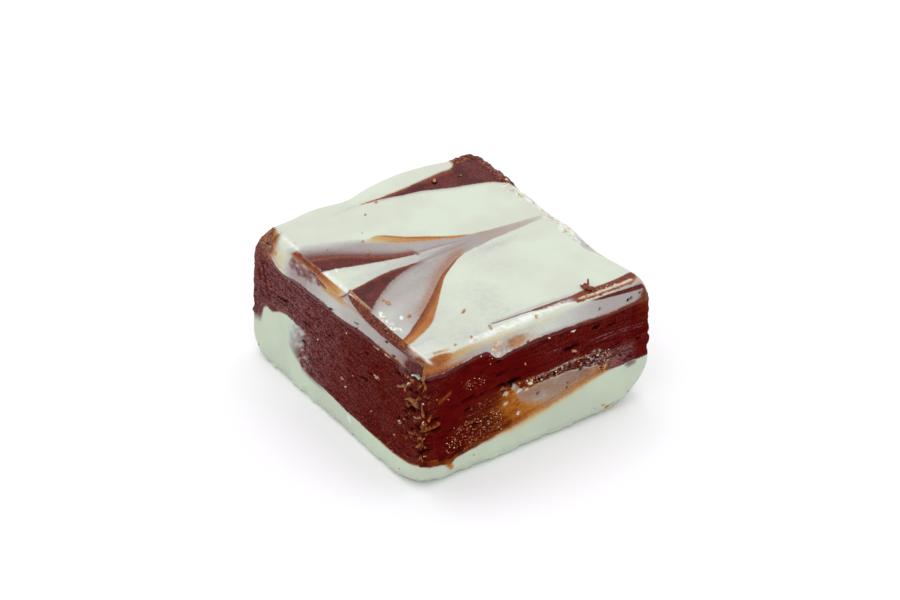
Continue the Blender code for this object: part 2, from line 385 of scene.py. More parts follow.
def top_pattern(x, y):
    """The feathered swirl on the top face."""
    p = Pattern(x.shape)
    at = np.stack([x, y, np.zeros_like(x)], axis=-1)
    h = y + 0.05 * noise(at, 1.6, 31) + 0.02 * noise(at, 0.5, 32)
    fine, mid = noise(at, 0.35, 33), noise(at, 1.2, 34)
    away, angle = np.hypot(x - 6.5, h - 0.4), np.arctan2(h - 0.4, 6.5 - x)
    ray = noise(np.stack([angle * 13.0, 0.07 * away, angle * 0], axis=-1), 1.0, 36) * smooth(0.3, 1.5, away)
    line = curve(STREAK_LINE, x)
    line_slope = np.hypot(1.0, (curve(STREAK_LINE, x + 0.1) - line) / 0.1)
    off_line = (h - line) / line_slope

    # The four chocolate wedges.
    back = between(x, h, WEDGE_BACK_UP, WEDGE_BACK_LOW, 0.20, 0.13, (-2.0, 20))
    upper = between(x, h, WEDGE_UPPER_UP, WEDGE_UPPER_LOW, 0.30, 0.10, (-13.5, -3.3))
    lower = between(x, h, WEDGE_LOWER_UP, WEDGE_LOWER_LOW, 0.10, 0.30, (-13.0, -4.2))
    front = between(x, h, FRONT_BAND_UP, FRONT_BAND_LOW, 0.11, 0.10, (0.8, 20))
    p.cocoa = np.clip(np.maximum.reduce([back, upper, lower, front]), -1.6, 1.6)
    # Painted sheen: a pale haze over the chocolate on the top face.
    p.bloom = 0.16 + 0.10 * mid

    # Grey-violet veils, where the knife drew the two colours into each other.
    soft = curve([(-14, 1.7), (-10, 1.6), (-6, 0.9), (-3, 0.5), (3, 0.3)], x)
    above = (h - curve(WEDGE_UPPER_UP, x)) * 0.88
    span = inside((curve(UPPER_VEIL_UP, x) - h) / soft)
    span = span * np.where(x < -3.2, inside(above / 0.1), smooth(1.2, 1.8, h))
    strength = curve([(-14, 0.44), (-10, 0.42), (-6, 0.40), (-3, 0.36), (0, 0.38), (4, 0.42), (8, 0.34), (13, 0.2)], x)
    purple = 0.62 * fade(above, curve([(-14, 1.25), (-10, 1.0), (-6, 0.75), (-3, 0.5)], x), 1.4) * smooth(-2.6, -3.4, x)
    p.veil = span * (strength + 0.045 * ray + purple)
    low = np.where(x < 1.6, line, curve(TAIL_LOW, x))
    fan = inside((curve(FAN_UP, x) - h) / 0.3) * inside((h - low) / 0.14)
    strength = curve([(-14, 0.18), (-12, 0.23), (-10, 0.30), (-6, 0.33), (-3, 0.37), (0, 0.43), (3, 0.45), (6, 0.40),
                      (9, 0.33), (11, 0.22), (13, 0.08)], x)
    under = curve(WEDGE_LOWER_LOW, x) - h
    purple = 0.42 * fade(under, 0.5) * smooth(-2.6, -4.2, x)
    p.lift("veil", fan * (strength + 0.055 * ray + purple))
    gap = inside((curve(WEDGE_UPPER_LOW, x) - h) / 0.15) * inside((h - curve(WEDGE_LOWER_UP, x)) / 0.15)
    tail = inside((curve(UPPER_VEIL_UP, x) - 0.1 - h) / 0.15)
    gap = np.where(x > -3.4, smooth(2.3, 1.8, h) * smooth(0.0, 0.5, h) * tail, gap)
    strength = curve([(-14, 0.04), (-11, 0.09), (-7, 0.15), (-4, 0.21), (-1, 0.27), (2, 0.37), (4, 0.44), (7, 0.40),
                      (9, 0.32), (11, 0.2), (13, 0.08)], x)
    p.lift("veil", gap * (strength + 0.03 * ray))
    for points, strength, width in (
        ([(-4.6, 2.35), (-3, 2.1), (-1.5, 1.85), (0, 1.65), (2, 1.35), (4, 0.95), (7, 0.6)], 0.60, 0.13),
        ([(-5, 0.35), (-4, 0.25), (-2, 0.42), (0, 0.5), (2, 0.45), (4, 0.35), (7, 0.1)], 0.60, 0.13),
        ([(-3.4, 1.2), (-1, 1.05), (1.5, 0.95), (4, 0.75)], 0.40, 0.05),
        ([(-6, -1.3), (-3, -0.6), (0, -0.15), (3, 0.1)], 0.47, 0.10),
        ([(2.5, -0.75), (5, -0.3), (7, -0.25), (10, -0.15)], 0.45, 0.10),
    ):
        mask, share = stroke(x, h, points, width, 0.22)
        p.lift("veil", strength * mask * smooth(1.0, 0.6, share))
    tail = smooth(3.0, 5.5, x) * inside((curve([(3, 1.9), (5, 1.35), (8, 0.8), (13, 0.4)], x) - h) / 0.2)
    tail = tail * inside((h - curve(TAIL_LOW, x)) / 0.2)
    p.stain(0.30 * tail * smooth(13, 10.5, x), 0.48)
    p.stain(0.4 * tail * smooth(10, 12, x), 0.1)
    p.lift("veil", 0.13 * fade(np.abs(h - 13.4), 0.7) * smooth(-10, -4, x) * smooth(1, -2.5, x))
    p.lift("veil", 0.30 * fade(curve(WEDGE_BACK_LOW, x) - h, 0.45) * smooth(-3, 0, x) * (h < 13.2))
    p.lift("veil", 0.09 * spot(x, h, (2.5, -5.0), (4.5, 3.2), -0.5) + 0.12 * spot(x, h, (5, -1.6), (4.0, 0.9)))
    # The mint greys a little towards the front-left.
    p.lift("veil", 0.10 * smooth(4, -8, h) * smooth(9, -8, x) + 0.05 * noise(at, 3.5, 37))
    p.lift("veil", 0.20 * fade(np.abs(h + 13.55 + 0.06 * x), 0.4) * smooth(-6, -3, x) * smooth(9, 5, x))
    mottled = smooth(0.1, 0.8, fine + 0.4 * mid) * spot(x, h, (-13.0, 8.7), (0.8, 1.0))
    p.lift("veil", 0.55 * mottled)

    # Thin chocolate shows ochre to rust.
    edge = np.clip(curve(OCHRE_UP, x) - h, -1, 9)
    mask = inside(between(x, h, OCHRE_UP, OCHRE_LOW, 0.15, 0.32, (-6.7, 9)))
    mask = mask * curve([(-6.6, 0.3), (-5.8, 0.7), (-4.5, 0.95), (1, 0.95), (3.4, 0.85), (3.9, 0.35), (4.7, 0.8),
                         (6, 0.5), (8.5, 0.1)], x)
    tone = curve([(-6.6, 0.14), (-5.5, 0.28), (-4.5, 0.40), (-3, 0.48), (0, 0.52), (8, 0.52)], x)
    tone = tone + 0.20 * np.exp(-(((edge - 0.27) / 0.15) ** 2)) * smooth(-4.8, -3.8, x) * smooth(3, 0, x)
    p.stain(mask, tone + 0.05 * fine)
    reach = curve([(-14, 0.2), (-12, 0.26), (-10, 0.34), (-7, 0.34), (-4, 0.26), (-2, 0.18), (0, 0.10), (1.4, 0.03)], x)
    haze = 0.55 * fade(np.abs(off_line - 0.55), 0.9, 2) + 0.16 * fade(np.abs(off_line - 2.2), 0.7, 2)
    p.stain(fan * haze * smooth(-13.0, -8, x) * smooth(3.0, 0.5, x) * (off_line > 0), 0.72)
    band = inside((line - h) / 0.1) * inside((h - curve(STREAK_EDGE, x)) / 0.2) * smooth(-1.8, -3, x)
    p.stain(band, 0.64 + 0.06 * mid - 0.06 * smooth(-10, -12, x))
    p.stain(inside((reach - np.abs(off_line)) / 0.09) * smooth(1.7, 0.6, x), curve([(-14, 0.80), (-9, 0.92), (-4, 0.86),
                                                                                    (0, 0.70), (2, 0.5)], x))
    p.stain(0.9 * fade(np.abs(h - curve(WEDGE_UPPER_UP, x) + 0.1), 0.30, 2) * smooth(-2.9, -3.6, x), 0.84)
    p.stain(0.6 * fade(np.abs(h - curve(WEDGE_UPPER_LOW, x)), 0.16, 2) * smooth(-2.9, -3.6, x), 0.84)
    p.stain(0.9 * fade(np.abs(h - curve(WEDGE_LOWER_UP, x) + 0.05), 0.20, 2) * smooth(-3.6, -4.4, x), 0.84)
    p.stain(0.9 * fade(np.abs(h - curve(WEDGE_BACK_UP, x) + 0.1), 0.36, 2) * smooth(-1, 1, x) * smooth(11, 10, x), 0.82)
    p.stain(0.6 * fade(np.abs(h - curve(WEDGE_BACK_LOW, x)), 0.14, 2) * smooth(2, 6, x), 0.82)
    p.stain(0.9 * np.abs(inside((curve(FRONT_BAND_UP, x) + 0.1 - h) / 0.15) - inside((curve(FRONT_BAND_LOW, x) - 0.2 - h) / 0.15))
            * smooth(0.5, 1.5, x), 0.84 + 0.06 * mid)
    mask, share = stroke(x, h, [(-2.9, 13.32), (-1.5, 13.28), (0.0, 13.1), (1.5, 12.95)], 0.10, 0.14)
    p.stain(0.9 * mask, 0.42 + 0.5 * share)
    mask, share = stroke(x, h, [(-4.4, -13.55), (-2, -13.78), (0, -13.95), (1.6, -14.1)], 0.07, 0.13)
    p.lift("veil", 0.9 * mask)
    mask, share = stroke(x, h, [(-12.4, -14.55), (-11, -14.8), (-9.5, -15.05)], 0.22, 0.24)
    p.stain(0.8 * mask * smooth(1.1, 0.3, share), 0.5)
    p.stain(0.95 * smooth(0.10, 0.85, spot(x, h, (-12.0, -15.7), (2.1, 0.75), -0.1) + 0.12 * mid), 0.74)
    p.stain(0.7 * smooth(0.10, 0.9, spot(x, h, (-9.2, -15.8), (2.2, 0.5), 0.0) + 0.12 * mid), 0.52)
    p.stain(0.55 * inside((h + 16.4) / 0.4) * inside((-15.2 - h) / 0.4) * smooth(-12, -9, x) * smooth(-1, -4, x), 0.10)

    # The left ridge: rust burrs, a painted highlight along the mint's lip, painted glints, and chocolate over its outer
    # side.
    outer = smooth(-13.35, -13.6, x)
    reach_out = curve([(-13, -15.2), (-9, -14.9), (-5, -14.55), (-3, -14.25), (-1, -13.75), (0, -13.3)], h)
    p.lift("veil", 0.45 * outer * smooth(0.6, -0.4, h))
    outer = outer * inside((x - reach_out) / 0.12)
    p.lay("cocoa", outer * smooth(0.2, -0.6, h), 1.6)
    p.stain(0.8 * outer * smooth(0.2, -0.6, h), 0.88 + 0.08 * mid)
    p.lift("crumble", 0.7 * outer * smooth(9.8, 9.0, h))
    p.lay("cocoa", outer * smooth(-11.6, -12.4, h), -0.2)
    p.stain(outer * smooth(-11.6, -12.4, h) * 0.9, 0.74)
    p.lay("cocoa", smooth(-13.3, -13.5, x) * smooth(4.3, 4.7, h) * smooth(9.9, 9.2, h), 0.1 + 2.0 * fine)
    p.stain(smooth(-13.4, -13.7, x) * smooth(9.9, 9.2, h) * smooth(-0.4, 0.6, h), curve([(-1, 0.4), (1.5, 0.5), (4, 0.8),
                                                                                      (9, 0.86)], h) + 0.08 * mid)
    # Painted highlight along the mint's lip on the left ridge.
    lip = fade(np.abs(x + 13.2), 0.28, 2) * (smooth(-0.4, 0.2, h) * smooth(5.0, 4.2, h) + smooth(9.4, 10, h) * smooth(13.6, 13, h))
    p.lift("frost_and_glint", lip * (0.55 + 0.4 * fine))
    p.lift("frost_and_glint", 0.75 * fade(np.abs(x + 13.5), 0.22, 2) * smooth(-11.8, -12.4, h))
    # Painted glints on the mint beside the left ridge.
    sparkle = smooth(0.25, 0.7, fine + 0.35 * mid) * fade(np.abs(x + 13.05), 0.45, 2) * smooth(-4.5, -5.2, h) * (off_line > 0.4)
    for centre, radii, tilt in (((-12.75, -5.7), (0.35, 0.75), -0.3), ((-11.3, -7.3), (0.2, 0.5), -0.6),
                                ((-12.6, -9.0), (0.35, 0.3), 0.5), ((-12.0, 4.1), (0.12, 0.5), -0.4)):
        sparkle = np.maximum(sparkle, smooth(0.35, 0.8, spot(x, h, centre, radii, tilt) + 0.25 * fine))
    p.lift("frost_and_glint", 0.9 * sparkle)

    # The rust-brown cap and rim at the right-hand back corner, and a painted highlight along the lip of the front edge.
    cap = smooth(14.0, 14.5, h + 0.25 * fine) * smooth(10.0, 10.6, x)
    rim = smooth(12.7, 13.1, x + 0.15 * fine) * smooth(7.2, 8.0, h)
    foot = spot(x, h, (13.0, 8.8), (0.7, 0.9))
    p.crumble = np.maximum.reduce([p.crumble, cap, rim, foot])
    p.lift("bloom", 0.4 * rim)
    p.stain(0.85 * np.maximum(cap, rim), 0.86 + 0.06 * mid)
    p.stain(smooth(0.0, 0.5, fine) * np.maximum(cap, foot), 0.7)
    p.lay("cocoa", smooth(0.05, 0.5, fine + 0.3 * mid) * np.maximum(cap, foot), -0.6)
    # Painted highlight along the lip of the front edge, and a fainter one over the front-left corner.
    white = smooth(-1.1, 0.7, fine + 0.6 * mid) * inside((-14.4 - h) / 0.3) * inside((h + 15.35) / 0.35)
    p.lift("frost_and_glint", 0.85 * white * smooth(-9.4, -7.0, x) * smooth(6.2, 4.2, x))
    p.lift("frost_and_glint", 0.25 * smooth(-12, -13, h) * smooth(-14.4, -14.0, h) * smooth(-10, -12.5, x))
    crust = between(x, h + 0.12 * fine, [(5.2, -14.9), (14, -15.1)], [(5.2, -15.7), (9, -15.9), (14, -16.1)], 0.15, 0.15, (5.6, 20))
    crust = inside(crust)
    p.lay("cocoa", crust, 0.0 + 2.4 * fine)
    p.stain(crust, 0.74 + 0.14 * mid)
    p.lift("crumble", crust)
    p.lift("frost_and_glint", crust * smooth(0.35, 0.75, noise(at, 0.45, 38)) * smooth(12.5, 8, x))
    return p


STRIP_LOW = {
    FRONT: [(-15.4, 14.5), (-14, 14.3), (-13, 14.25), (-12, 14.15), (-11, 14.3), (-9, 14.5), (-7.4, 14.6), (-6.4, 14.5),
            (-5.8, 14.0), (-5.1, 13.5), (-4, 13.55), (-1, 13.8), (3, 13.7), (7, 13.5), (9, 13.4), (12, 13.5), (15.2, 13.7)],
    RIGHT: [(-16.6, 13.8), (-12, 13.5), (-7, 13.0), (-2, 13.3), (2, 13.5), (6, 12.9), (10, 13.2), (16.6, 14.4)],
    BACK: [(-15.2, 14.0), (-9, 13.4), (-4, 13.1), (3, 12.8), (8, 13.4), (12, 14.2), (15.2, 14.4)],
    LEFT: [(-16.6, 14.4), (-14, 14.2), (-12.6, 13.7), (-10.6, 13.1), (-9, 13.3), (-8, 13.5), (-6, 13.6), (0, 13.65),
           (2, 13.7), (4, 13.95), (8, 14.1), (12, 14.2), (17.5, 14.4)],
}
BASE_HIGH = {
    FRONT: [(-17, 3.9), (-16, 3.6), (-15, 3.2), (-14, 2.85), (-13, 2.65), (-12, 2.4), (-11.2, 2.2), (-10.7, 2.65),
            (-10, 2.85), (-8, 3.1), (-6.5, 3.3), (-5, 3.6), (-3, 3.95), (-1, 4.35), (2, 4.9), (4, 5.3), (7, 5.8),
            (9, 6.0), (11, 5.95), (12, 5.8), (13, 5.9), (16, 6.1)],
    RIGHT: [(-16.6, 6.1), (-12, 5.6), (-6, 4.2), (-2, 3.5), (3, 3.4), (7, 4.4), (10, 5.0), (16.6, 4.4)],
    BACK: [(-15.2, 4.7), (-12, 5.8), (-9, 6.4), (-4, 5.6), (2, 3.9), (6, 3.2), (11, 3.9), (15.2, 4.4)],
    # Measured along the left side from back to front.
    LEFT: [(-18, 4.9), (-15.7, 4.75), (-14.8, 5.2), (-14.25, 6.4), (-13.8, 6.85), (-12.3, 6.95), (-11.7, 7.35), (-11, 7.75),
           (-9, 7.8), (-8.0, 7.0), (-7.5, 4.6), (-7.0, 3.3), (-6, 2.75), (-4, 2.5), (-1, 2.25), (3, 2.05), (8, 1.95),
           (12, 2.05), (14, 2.4), (15, 2.75), (16, 3.2), (17, 3.8), (18.5, 4.6)],
}


def wall_pattern(side, a, z):
    """The layers of one upright side; a runs along it, to the right as seen from outside."""
    p = Pattern(a.shape)
    at = np.stack([a, z, np.full_like(a, 10.0 * side)], axis=-1)
    h = z + 0.09 * noise(at, 1.3, 41) + 0.05 * noise(at, 0.4, 42)
    position = -a if side == BACK else a
    strip, base = curve(STRIP_LOW[side], position), curve(BASE_HIGH[side], position)
    slope = np.hypot(1.0, (curve(BASE_HIGH[side], position + 0.1) - base) / 0.1)
    p.cocoa = np.clip(np.minimum((strip - h) / 0.17, (h - base) / (0.17 * slope)), -1.6, 1.6)
    return p, at, strip, base, slope


def front_pattern(a, z):
    p, at, strip, base, slope = wall_pattern(FRONT, a, z)
    fine, mid = noise(at, (0.40, 0.26, 1.0), 51), noise(at, 1.1, 52)
    grit = noise(at, 0.26, 53)
    low = base - z - 0.10 * mid
    p.lift("crumble", 0.16)

    # Rust and ochre soak from the chocolate into the base.
    p.stain(0.85 * fade(low, 0.22, 2) * smooth(-15, -13, a) * smooth(12, 9, a) * (low > -0.6), 0.82)
    wide = curve([(-9, 0.25), (-6, 0.5), (-4, 0.85), (-1, 1.2), (3, 1.05), (7, 0.7), (10, 0.35)], a)
    soak = fade(np.clip(low + 0.1, 0, 9), wide, 2) * smooth(-10.5, -6.5, a) * smooth(11.5, 8.0, a) * (low > -1.3)
    tone = curve([(-8, 0.84), (-5, 0.70), (-1, 0.58), (4, 0.56), (9, 0.62)], a) - 0.44 * smooth(-0.3, 1.0, low / (wide + 0.2))
    p.stain(0.92 * soak, tone + 0.04 * fine)
    for centre, radii in (((8.7, 1.55), (0.42, 0.22)), ((9.35, 1.05), (0.5, 0.24)), ((10.1, 1.1), (0.26, 0.2))):
        p.stain(0.95 * smooth(0.3, 0.7, spot(a, z, centre, radii, -0.1) + 0.3 * grit), 0.52 + 0.2 * grit)
    drip, share = stroke(a, z, [(-12.2, 2.9), (-11.6, 2.2), (-11.0, 1.35)], 0.32, 0.3)
    p.stain(0.95 * drip, 0.82 - 0.35 * share)
    p.lay("cocoa", drip * smooth(0.55, 0.0, share), 0.8)

    # Thin chocolate over the base, from the corner to the grey-violet patch and along below it.
    patch_up = curve([(-4, 9.0), (-2.9, 8.9), (-2.3, 8.2), (0, 7.95), (3, 7.9), (5, 7.75), (7, 7.35), (8.4, 7.0)], a)
    patch_low = curve([(-4, 10.0), (-3.3, 8.7), (-2.6, 7.3), (-1.8, 6.3), (-0.3, 5.4), (1.5, 5.05), (3, 5.3), (5, 5.75),
                       (7, 6.15), (8.4, 6.4)], a)
    thin = spot(a, z, (-2.9, 6.6), (2.9, 2.8), -0.25) + 0.20 * mid + 0.13 * fine
    under = inside((a + 3.5) / 1.2) * inside((9.0 - a) / 1.5) * inside((patch_low + 0.3 - z) / 0.4)
    thin = np.maximum(thin * inside((9.3 - z) / 0.4), under)
    above = inside((z - base + 0.1) / 0.5)
    p.lay("cocoa", smooth(0.40, 0.85, thin) * inside((z - base + 0.15) / 0.25), -2.2)
    tone = curve([(0.0, 0.96), (0.3, 0.86), (0.6, 0.75), (1.0, 0.68)], thin) - 0.14 * smooth(-3.0, 0.5, a)
    tone = tone + 0.10 * smooth(6.4, 4.8, z) * smooth(0, -2, a)
    p.stain(smooth(0.03, 0.38, thin) * above, tone + 0.13 * fine + 0.06 * mid + 0.07 * grit)
    rusty = spot(a, z, (-6.0, 6.0), (2.4, 3.0), 0.2)
    p.stain(0.75 * rusty * above * smooth(0.5, 0.1, thin), 0.92 + 0.08 * fine)
    bar = spot(a, z, (-1.1, 5.35), (0.75, 0.17))
    p.stain(0.9 * smooth(0.3, 0.8, bar), 0.68)

    # The grey-violet patch and its torn upper edge.
    patch = np.minimum(np.minimum((patch_up - z) / 0.2, (z - patch_low) / 1.0), (7.6 - a) / 0.9)
    patch = inside(patch + 0.45 * fine + 0.4 * mid)
    p.lay("cocoa", patch, -4.0)
    p.lay("smear", patch, 0.40 + 0.12 * mid)
    p.lay("tone", patch, 0.64)
    p.lift("veil", patch * (0.46 + 0.22 * smooth(1.5, 7.0, a) + 0.10 * mid + 0.06 * fine))
    for centre, radii in (((-4.2, 8.3), (0.42, 0.30)), ((-4.3, 7.1), (0.42, 0.24)), ((-2.5, 5.15), (0.26, 0.24)),
                          ((-3.2, 8.75), (0.26, 0.40)), ((-6.4, 5.35), (0.2, 0.16))):
        clot = smooth(0.30, 0.85, spot(a, z, centre, radii, -0.3) + 0.25 * fine + 0.2 * grit)
        p.lay("cocoa", clot, -1.6)
        p.lay("smear", clot, 0.30)
        p.lay("tone", clot, 0.5)
        p.lay("veil", clot, 0.34)
        p.lift("frost_and_glint", 0.35 * clot * smooth(-0.2, 0.5, grit))
    streak, _ = stroke(a, z, [(-1.0, 7.2), (1.5, 6.9), (4.0, 7.2), (6.5, 7.0)], 0.10, 0.25)
    p.lift("veil", 0.55 * streak * patch)
    lilac = inside(np.minimum(a - 6.6, 12.5 - a) / 0.9) * inside((8.4 - z) / 0.7) * inside((z - base) / 0.2)
    p.lift("bloom", 0.95 * lilac)
    smudge = smooth(0.2, 0.8, spot(a, z, (12.3, 5.7), (0.9, 0.45)) + 0.15 * fine)
    p.lay("cocoa", smudge, -1.0)
    p.lift("veil", 0.66 * smudge)
    torn = inside((curve([(-3, 8.9), (-1, 9.1), (2, 9.2), (5, 9.4), (8, 9.3), (9.8, 8.6)], a) - z) / 0.25 + 0.5 * fine)
    torn = torn * inside((z - curve([(-3, 8.1), (0, 7.9), (3, 7.85), (5, 7.6), (7, 7.2), (8, 6.4), (9.8, 6.2)], a)) / 0.15)
    torn = torn * smooth(-3.2, -2.4, a) * smooth(10.0, 9.3, a)
    p.lift("crumble", 0.75 * torn)
    p.lift("bloom", 0.5 * torn * smooth(-0.3, 0.5, mid))
    p.lay("cocoa", torn * smooth(0.15, 0.6, grit), -0.7)
    p.lift("veil", 0.38 * torn * smooth(0.25, 0.6, grit))
    for centre, radii in (((-1.95, 8.5), (0.75, 0.36)), ((0.7, 8.4), (1.5, 0.34)), ((4.0, 8.5), (1.2, 0.3))):
        pocket = smooth(0.3, 0.7, spot(a, z, centre, radii, -0.06) + 0.25 * fine)
        p.lay("cocoa", pocket, 1.6)
        p.lay("smear", pocket, 0.15)
    for centre, radii in (((-0.85, 8.65), (0.20, 0.36)), ((-1.5, 7.85), (0.34, 0.24)), ((-2.5, 8.0), (0.5, 0.2))):
        clot = smooth(0.35, 0.8, spot(a, z, centre, radii) + 0.25 * fine + 0.15 * grit)
        p.lay("cocoa", clot, -2.0)
        p.lift("frost_and_glint", 0.60 * clot)

    # Sandy grain in the chocolate.
    for centre, radii, tilt, strength in (
        ((-8.2, 4.8), (4.4, 2.0), 0.10, 1.0), ((-7.6, 8.0), (2.8, 1.0), 0.1, 0.8), ((-8.2, 11.4), (1.7, 0.9), 0.1, 0.75),
        ((5.0, 9.9), (1.0, 0.5), 0.0, 0.6), ((11.2, 7.6), (1.8, 1.3), 0.0, 0.5), ((-7.5, 6.6), (3.6, 0.7), 0.15, 1.0),
    ):
        p.lift("crumble", 0.78 * strength * smooth(0.15, 0.8, spot(a, z, centre, radii, tilt) + 0.2 * mid) * (z > base))
    p.lift("crumble", 0.9 * smooth(-14.3, -14.9, a + 0.3 * mid) * smooth(3.6, 4.4, z) * smooth(15.4, 14.8, z))
    glow, _ = stroke(a, z, [(-12.9, 10.6), (-12.0, 11.0), (-11.2, 11.5)], 0.08, 0.3)
    p.stain(0.6 * glow, 0.70)
    right = smooth(12.4, 14.2, a + 0.4 * mid) * smooth(9.0, 11.5, z) * smooth(13.9, 13.4, z)
    p.stain(0.5 * right, 0.92)
    p.lay("cocoa", 0.4 * right, 0.5)
    for points, width, tone in (
        ([(6.5, 10.75), (9, 10.8), (12, 10.55), (14.2, 10.35)], 0.04, 0.0), ([(7.5, 10.3), (10.5, 10.35), (14, 10.0)], 0.03, 0.0),
        ([(1.0, 11.35), (2.0, 11.4), (3.1, 11.2)], 0.05, 0.0), ([(2.6, 13.2), (3.4, 13.15)], 0.05, 0.0),
    ):
        mask, _ = stroke(a, z, points, width, 0.08)
        p.lift("bloom", 0.9 * mask)
    light, _ = stroke(a, z, [(4.2, 13.0), (4.9, 12.95)], 0.06, 0.06)
    p.lay("cocoa", light, -2.0)

    # The thin mint strip under the top edge.
    s = inside((z - strip) / 0.2)
    p.lift("veil", s * curve([(-15, 0.2), (-12.5, 0.34), (-9, 0.40), (-7, 0.34), (-5, 0.30), (-2, 0.18), (0, 0.12), (4, 0.16),
                             (6.5, 0.28), (9, 0.38), (12, 0.40), (14, 0.5)], a))
    p.lift("veil", s * 0.36 * fade(z - strip, 0.45, 2) * smooth(-2, 1, a))
    soak = s * smooth(-5.6, -9.5, a + 0.4 * mid) * (1 - 0.8 * spot(a, z, (-9.3, 14.95), (2.3, 0.30)))
    tone = curve([(-15, 0.66), (-12.5, 0.62), (-11, 0.50), (-9, 0.34), (-6, 0.22)], a)
    tone = tone + 0.30 * fade(z - strip, 0.40, 2) + 0.16 * spot(a, z, (-12.2, 15.45), (1.6, 0.5)) + 0.06 * mid
    p.stain(soak * (0.92 - 0.3 * smooth(-9.5, -7, a)), tone)
    p.stain(0.6 * fade(np.abs(z - strip), 0.20, 2) * smooth(3, 6, a), 0.72)
    p.stain(s * 0.45 * smooth(14.9, 15.3, z) * smooth(-11.5, -9.5, a) * smooth(5.5, 3.5, a), 0.10)
    p.stain(s * 0.75 * smooth(0.0, 0.9, spot(a, z, (-2.8, 14.4), (1.7, 0.8)) + 0.2 * mid + 0.12 * fine), 0.68)
    p.lift("crumble", 0.9 * spot(a, z, (-3.2, 14.4), (1.2, 0.6)))
    p.stain(s * 0.40 * smooth(-3.5, -2.5, a) * smooth(1.5, -1, a) * smooth(14.9, 14.4, z), 0.36)
    clump = smooth(0.35, 0.55, spot(a, z, (-4.9, 14.3), (1.15, 0.95)) + 0.10 * fine)
    p.lay("cocoa", clump, -2.5)
    p.lift("veil", clump * (0.30 + 0.3 * fine))
    p.stain(clump * (0.35 + 0.6 * smooth(-0.5, 0.2, mid + 0.7 * grit)), 0.52 + 0.2 * grit)
    rim = smooth(0.95, 0.5, spot(a, z, (-4.6, 14.3), (1.0, 0.8))) * smooth(-3.8, -4.8, a)
    p.lift("frost_and_glint", 0.45 * clump * smooth(0.1, 0.6, 0.55 * rim - 0.1 + 0.7 * grit))
    over = smooth(12.9, 14.3, a + 0.5 * mid + 0.35 * (14.0 - z)) * inside((z - 13.0) / 0.4) * inside((14.8 - z) / 0.4)
    p.lay("cocoa", over, 0.6)
    p.stain(0.95 * over, 0.78 + 0.1 * mid)
    edge = between(a, z, [(6.6, 15.6), (8, 15.5), (10, 15.4), (12, 15.25), (15.2, 15.15)],
                   [(6.6, 15.5), (8, 15.25), (10, 15.05), (12, 14.85), (15.2, 14.6)], 0.08, 0.08, (7.2, 20))
    p.cocoa = np.maximum(p.cocoa, edge)
    return p


